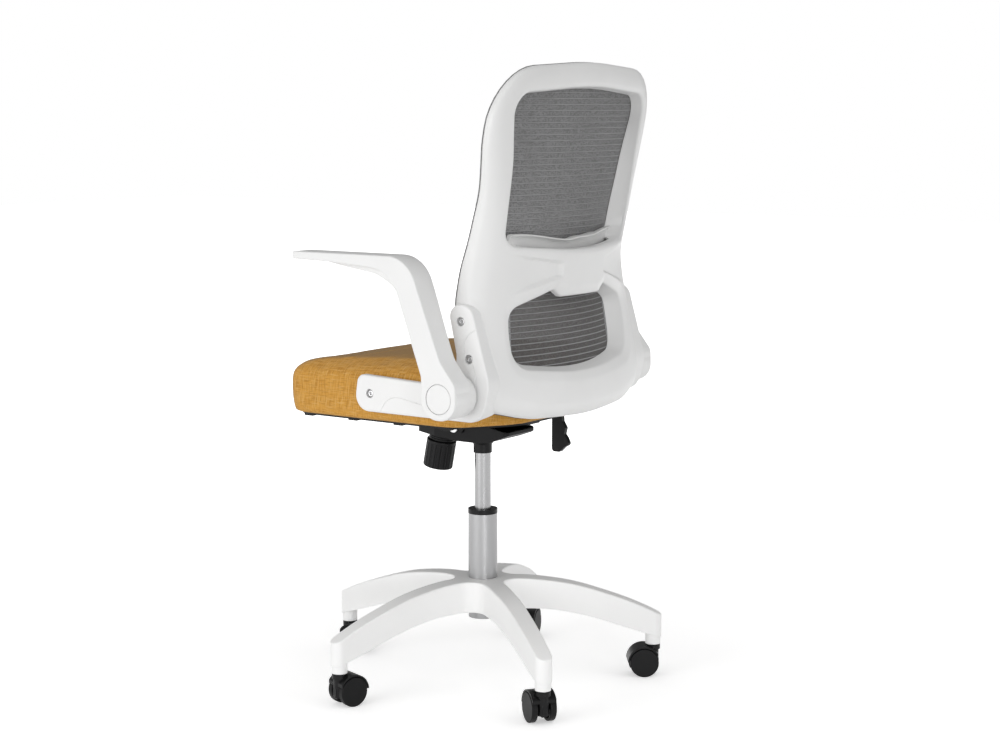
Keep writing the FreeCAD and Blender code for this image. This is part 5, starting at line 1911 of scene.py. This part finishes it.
@dataclass
class SeatCushion:
    """Foam seat in woven cloth: a crowned form, swollen by its padding."""

    half_w: float = 228.0
    front_y: float = -288.0
    rear_y: float = 184.0
    bottom_z: float = 473.0
    side_z: float = 530.0
    top_z: float = 571.0
    rise: float = 0.024
    dip: float = 11.0
    dip_y: float = -285.0
    dip_reach: float = 140.0
    dip_side_x: Pair = (110.0, 225.0)
    dip_side_loss: float = 0.45
    corner_r: float = 60.0
    rear_r: float = 62.0
    front_bow: float = 18.0
    rear_bow: float = 13.0
    rear_slant: float = 78.0
    rear_share: float = 0.56
    voxel: float = 6.0
    pinned_height: float = 3.0
    pressure: float = 4.0
    quality: int = 5
    frames: int = 20
    most: float = 5.0
    shrink: float = 2.5
    level_normal: float = 0.62
    seam_inset: float = 6.0
    side_shift: float = 0.7

    def plan(self, inset: float) -> list[Pair]:
        """The cushion from above.

        Args:
            inset: how far it is drawn in.

        Returns:
            Its points.
        """
        half = self.half_w - inset
        front = self.front_y + inset
        rear = self.rear_y - inset
        keep = max(0.35, 1.0 - inset / 90.0)
        corner_r = self.corner_r * keep
        rear_r = self.rear_r * keep
        slant_y, bow_y = rear - self.rear_slant, rear - self.rear_bow
        return rounded_loop([
            (-half, front + self.front_bow, corner_r), (0.0, front, 1200.0),
            (half, front + self.front_bow, corner_r), (half, slant_y, rear_r),
            (half * self.rear_share, bow_y, 2.1 * rear_r), (-half * self.rear_share, bow_y, 2.1 * rear_r),
            (-half, slant_y, rear_r),
        ], 10, 8)

    def form(self) -> Object:
        """The closed form before it swells: level outlines joined from bottom to top.

        Returns:
            The form.
        """
        levels = [
            (9.0, self.bottom_z, 0.0), (3.5, self.bottom_z + 6.0, 0.0), (0.8, self.bottom_z + 18.0, 0.003),
            (0.0, self.bottom_z + 36.0, 0.006), (0.0, self.side_z, 0.010), (2.0, self.side_z + 16.0, 0.016),
            (9.0, self.side_z + 28.0, 0.020), (22.0, self.top_z - 4.5, self.rise),
            (50.0, self.top_z - 1.0, self.rise), (110.0, self.top_z, self.rise),
        ]
        rings = []
        for inset, z, slope in levels:
            hollow = self.dip * smoothstep(self.side_z, self.top_z, z)
            ring = []
            for x, y in self.plan(inset + self.shrink):
                fall = math.exp(-(((y - self.dip_y) / self.dip_reach) ** 2))
                fall *= 1.0 - self.dip_side_loss * smoothstep(*self.dip_side_x, abs(x))
                ring.append((x, y, z + slope * y - hollow * fall))
            rings.append(ring)
        skin = Skin()
        skin.stack(rings)
        skin.cap_ends(len(rings[0]))
        return cleaned(skin.piece("seat_pad"), 180.0)

    def swell(self, pad: Object) -> None:
        """Inflate the form as cloth for a few frames, and keep each point near its start.

        Args:
            pad: the form, as an even grid.
        """
        start = [v.co.copy() for v in pad.data.vertices]
        pinned = pad.vertex_groups.new(name="pinned")
        low = (self.bottom_z + self.pinned_height) * MM
        pinned.add([v.index for v in pad.data.vertices if v.co.z < low], 1.0, "REPLACE")
        cloth = modify(pad, "CLOTH")
        settings = cloth.settings
        settings.quality = self.quality
        settings.use_pressure = True
        settings.uniform_pressure_force = self.pressure
        settings.effector_weights.gravity = 0.0
        settings.vertex_group_mass = pinned.name
        cloth.point_cache.frame_start = 1
        cloth.point_cache.frame_end = self.frames
        scene = bpy.context.scene
        for number in range(1, self.frames + 1):
            scene.frame_set(number)
        apply_modifiers(pad)
        scene.frame_set(1)
        for vertex, before in zip(pad.data.vertices, start):
            move = vertex.co - before
            if move.length > self.most * MM:
                vertex.co = before + move.normalized() * self.most * MM

    def map_cloth(self, pad: Object) -> None:
        """Lay UV in metres: flat on top and below, and along the edge round the sides.

        Args:
            pad: the cushion.
        """
        loop = self.plan(self.seam_inset)
        lengths = [0.0]
        for (ax, ay), (bx, by) in zip(loop, [*loop[1:], loop[0]]):
            lengths.append(lengths[-1] + math.hypot(bx - ax, by - ay))
        tree = KDTree(len(loop))
        for k, (x, y) in enumerate(loop):
            tree.insert((x * MM, y * MM, 0.0), k)
        tree.balance()
        mesh = pad.data
        layer = mesh.uv_layers.new(name="weave").data
        for face in mesh.polygons:
            flat = abs(face.normal.z) > self.level_normal
            centre = face.center
            spot, index, _ = tree.find((centre.x, centre.y, 0.0))
            following = loop[(index + 1) % len(loop)]
            along = Vector((following[0] * MM - spot.x, following[1] * MM - spot.y, 0.0)).normalized()
            for corner in face.loop_indices:
                point = mesh.vertices[mesh.loops[corner].vertex_index].co
                if flat:
                    layer[corner].uv = (point.x, point.y)
                else:
                    reach = lengths[index] * MM + (point - Vector((spot.x, spot.y, 0.0))).dot(along)
                    layer[corner].uv = (reach, point.z + self.side_shift)

    def build(self, finishes: Finishes) -> Object:
        """Make, swell and smooth the cushion.

        Args:
            finishes: the chair's finishes.

        Returns:
            The cushion.
        """
        pad = self.form()
        modify(pad, "REMESH", mode="VOXEL", voxel_size=self.voxel * MM)
        apply_modifiers(pad)
        self.swell(pad)
        modify(pad, "SMOOTH", factor=0.5, iterations=3)
        modify(pad, "SUBSURF", levels=1, render_levels=1)
        apply_modifiers(pad)
        pad.data.shade_smooth()
        self.map_cloth(pad)
        finishes.place(pad, "seat", "seat_cloth", ["seat_cushion"])
        return pad


def turned(obj: Object, place: Vector, toward: Vector) -> None:
    """Put a lamp or a camera at a place and turn it.

    Args:
        obj: the lamp or camera.
        place: its place in metres.
        toward: the direction that it looks in.
    """
    obj.location = place
    obj.rotation_mode = "QUATERNION"
    obj.rotation_quaternion = toward.to_track_quat("-Z", "Y")


@dataclass(frozen=True)
class Lamp:
    """One lamp of the studio: a square panel, or a soft-edged cone where it has an angle."""

    name: str
    place: Triple
    aim: Triple
    watts: float
    size: float
    cone_deg: float = 0.0

    def hang(self) -> None:
        """Add the lamp to the scene."""
        data = bpy.data.lights.new(self.name, "SPOT" if self.cone_deg else "AREA")
        data.energy = self.watts
        if self.cone_deg:
            data.spot_size = math.radians(self.cone_deg)
            data.spot_blend = 1.0
            data.shadow_soft_size = self.size
        else:
            data.shape = "SQUARE"
            data.size = self.size
        place = Vector(self.place)
        turned(linked(self.name, data), place, Vector(self.aim) - place)


@dataclass
class Studio:
    """Pale floor, soft lights and the camera at the photograph's angle, in metres."""

    azimuth: float = 124.611
    elevation: float = 7.5551
    distance: float = 3.4221
    lens: float = 71.857
    sensor: float = 36.0
    aim_right: float = 0.0297
    aim_z: float = 0.5297
    ambient: float = 0.79
    overhead_loss: float = 0.28
    shine_from: Triple = (0.93, -0.20, 0.30)
    shine_least: float = 0.16
    shine_more: float = 0.75
    floor_half: float = 14.0
    floor_colour: Colour = (0.93, 0.93, 0.93)
    floor_glow: float = 0.42
    floor_far_glow: float = 0.6
    floor_far: Pair = (0.7, 2.0)
    lamps: tuple[Lamp, ...] = (
        Lamp("key", (4.0, -1.2, 1.3), (0.0, 0.0, 0.6), watts=54.0, size=2.6),
        Lamp("fill", (-0.5, 3.4, 2.2), (0.0, 0.0, 0.6), watts=11.0, size=2.6),
        Lamp("low", (2.2, 2.6, 0.35), (0.0, 0.0, 0.06), watts=170.0, size=0.5, cone_deg=19.0),
    )

    def camera(self) -> None:
        """Place the camera."""
        turn, tilt = math.radians(self.azimuth), math.radians(self.elevation)
        right = Vector((math.cos(turn), math.sin(turn), 0.0))
        back = Vector((math.sin(turn) * math.cos(tilt), -math.cos(turn) * math.cos(tilt), math.sin(tilt)))
        aim = right * self.aim_right + Vector((0.0, 0.0, self.aim_z))
        data = bpy.data.cameras.new("photo_camera")
        data.lens = self.lens
        data.sensor_width = self.sensor
        camera = linked("photo_camera", data)
        turned(camera, aim + back * self.distance, -back)
        bpy.context.scene.camera = camera

    def world(self) -> None:
        """Even pale surroundings that show white to the camera and brighter on one side in reflections."""
        world = bpy.data.worlds.new("studio")
        world.use_nodes = True
        bpy.context.scene.world = world
        canvas = Canvas(world.node_tree)
        surround = next(n for n in world.node_tree.nodes if n.type == "BACKGROUND")
        surround.inputs["Color"].default_value = (1.0, 1.0, 1.0, 1.0)
        path = canvas.add("ShaderNodeLightPath").outputs
        seen = canvas.math("MAXIMUM", path["Is Camera Ray"], path["Is Transmission Ray"])
        spot = canvas.add("ShaderNodeTexCoord").outputs["Generated"]
        height = canvas.add("ShaderNodeSeparateXYZ", None, Vector=spot).outputs["Z"]
        sky = canvas.math("MULTIPLY_ADD", canvas.ramp(height, 0.0, 1.0), -self.overhead_loss, self.ambient)
        toward = canvas.add("ShaderNodeVectorMath", {"operation": "DOT_PRODUCT"})
        canvas.feed(toward.inputs[0], spot)
        canvas.feed(toward.inputs[1], self.shine_from)
        side = canvas.ramp(toward.outputs["Value"], -0.2, 0.9)
        shine = canvas.math("MULTIPLY_ADD", side, self.shine_more, self.shine_least)
        glossy = path["Is Glossy Ray"]
        level = canvas.math("ADD", canvas.math("MULTIPLY", glossy, shine),
                            canvas.math("MULTIPLY", canvas.math("SUBTRACT", 1.0, glossy), sky))
        hidden = canvas.math("MULTIPLY", canvas.math("SUBTRACT", 1.0, seen), level)
        canvas.feed(surround.inputs["Strength"], canvas.math("ADD", seen, hidden))

    def floor(self) -> None:
        """A wide pale floor that shows white where it is lit and keeps soft shadows."""
        half = self.floor_half
        mesh = bpy.data.meshes.new("floor")
        corners = [(-half, -half, 0), (half, -half, 0), (half, half, 0), (-half, half, 0)]
        mesh.from_pydata(corners, [], [(0, 1, 2, 3)])
        ground = linked("floor", mesh)
        material, canvas, shader = new_material("pale_floor")
        shader.inputs["Base Color"].default_value = (*self.floor_colour, 1.0)
        shader.inputs["Roughness"].default_value = 0.9
        shader.inputs["Specular IOR Level"].default_value = 0.0
        shader.inputs["Emission Color"].default_value = (1.0, 1.0, 1.0, 1.0)
        path = canvas.add("ShaderNodeLightPath").outputs
        seen = canvas.math("MAXIMUM", path["Is Camera Ray"], path["Is Glossy Ray"])
        seen = canvas.math("MAXIMUM", seen, path["Is Transmission Ray"])
        reach = canvas.add("ShaderNodeVectorMath", {"operation": "LENGTH"})
        canvas.feed(reach.inputs[0], canvas.object_spot())
        far = canvas.ramp(reach.outputs["Value"], *self.floor_far)
        glow = canvas.math("MULTIPLY_ADD", far, self.floor_far_glow, self.floor_glow)
        canvas.feed(shader.inputs["Emission Strength"], canvas.math("MULTIPLY", seen, glow))
        mesh.materials.append(material)

    def build(self) -> None:
        """Set the whole studio."""
        bpy.context.scene.view_settings.view_transform = "Standard"
        self.camera()
        self.world()
        self.floor()
        for lamp in self.lamps:
            lamp.hang()


def main() -> None:
    """Build the chair's looks around the frame."""
    logging.basicConfig(level=logging.INFO, format="%(message)s")
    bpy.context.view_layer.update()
    Studio().build()
    finishes = Finishes()
    finishes.dress_frame()
    curve, edges = CurvedBack(), BackOutlines()
    BackShell(curve, edges).build(finishes)
    MeshBack(curve, edges).build(finishes)
    LumbarPad(curve).build(finishes)
    for side in Side:
        SideBracket(side, curve).build(finishes)
        FlipArm(side).build(finishes)
    SeatCushion().build(finishes)
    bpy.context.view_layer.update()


if __name__ == "__main__":
    main()
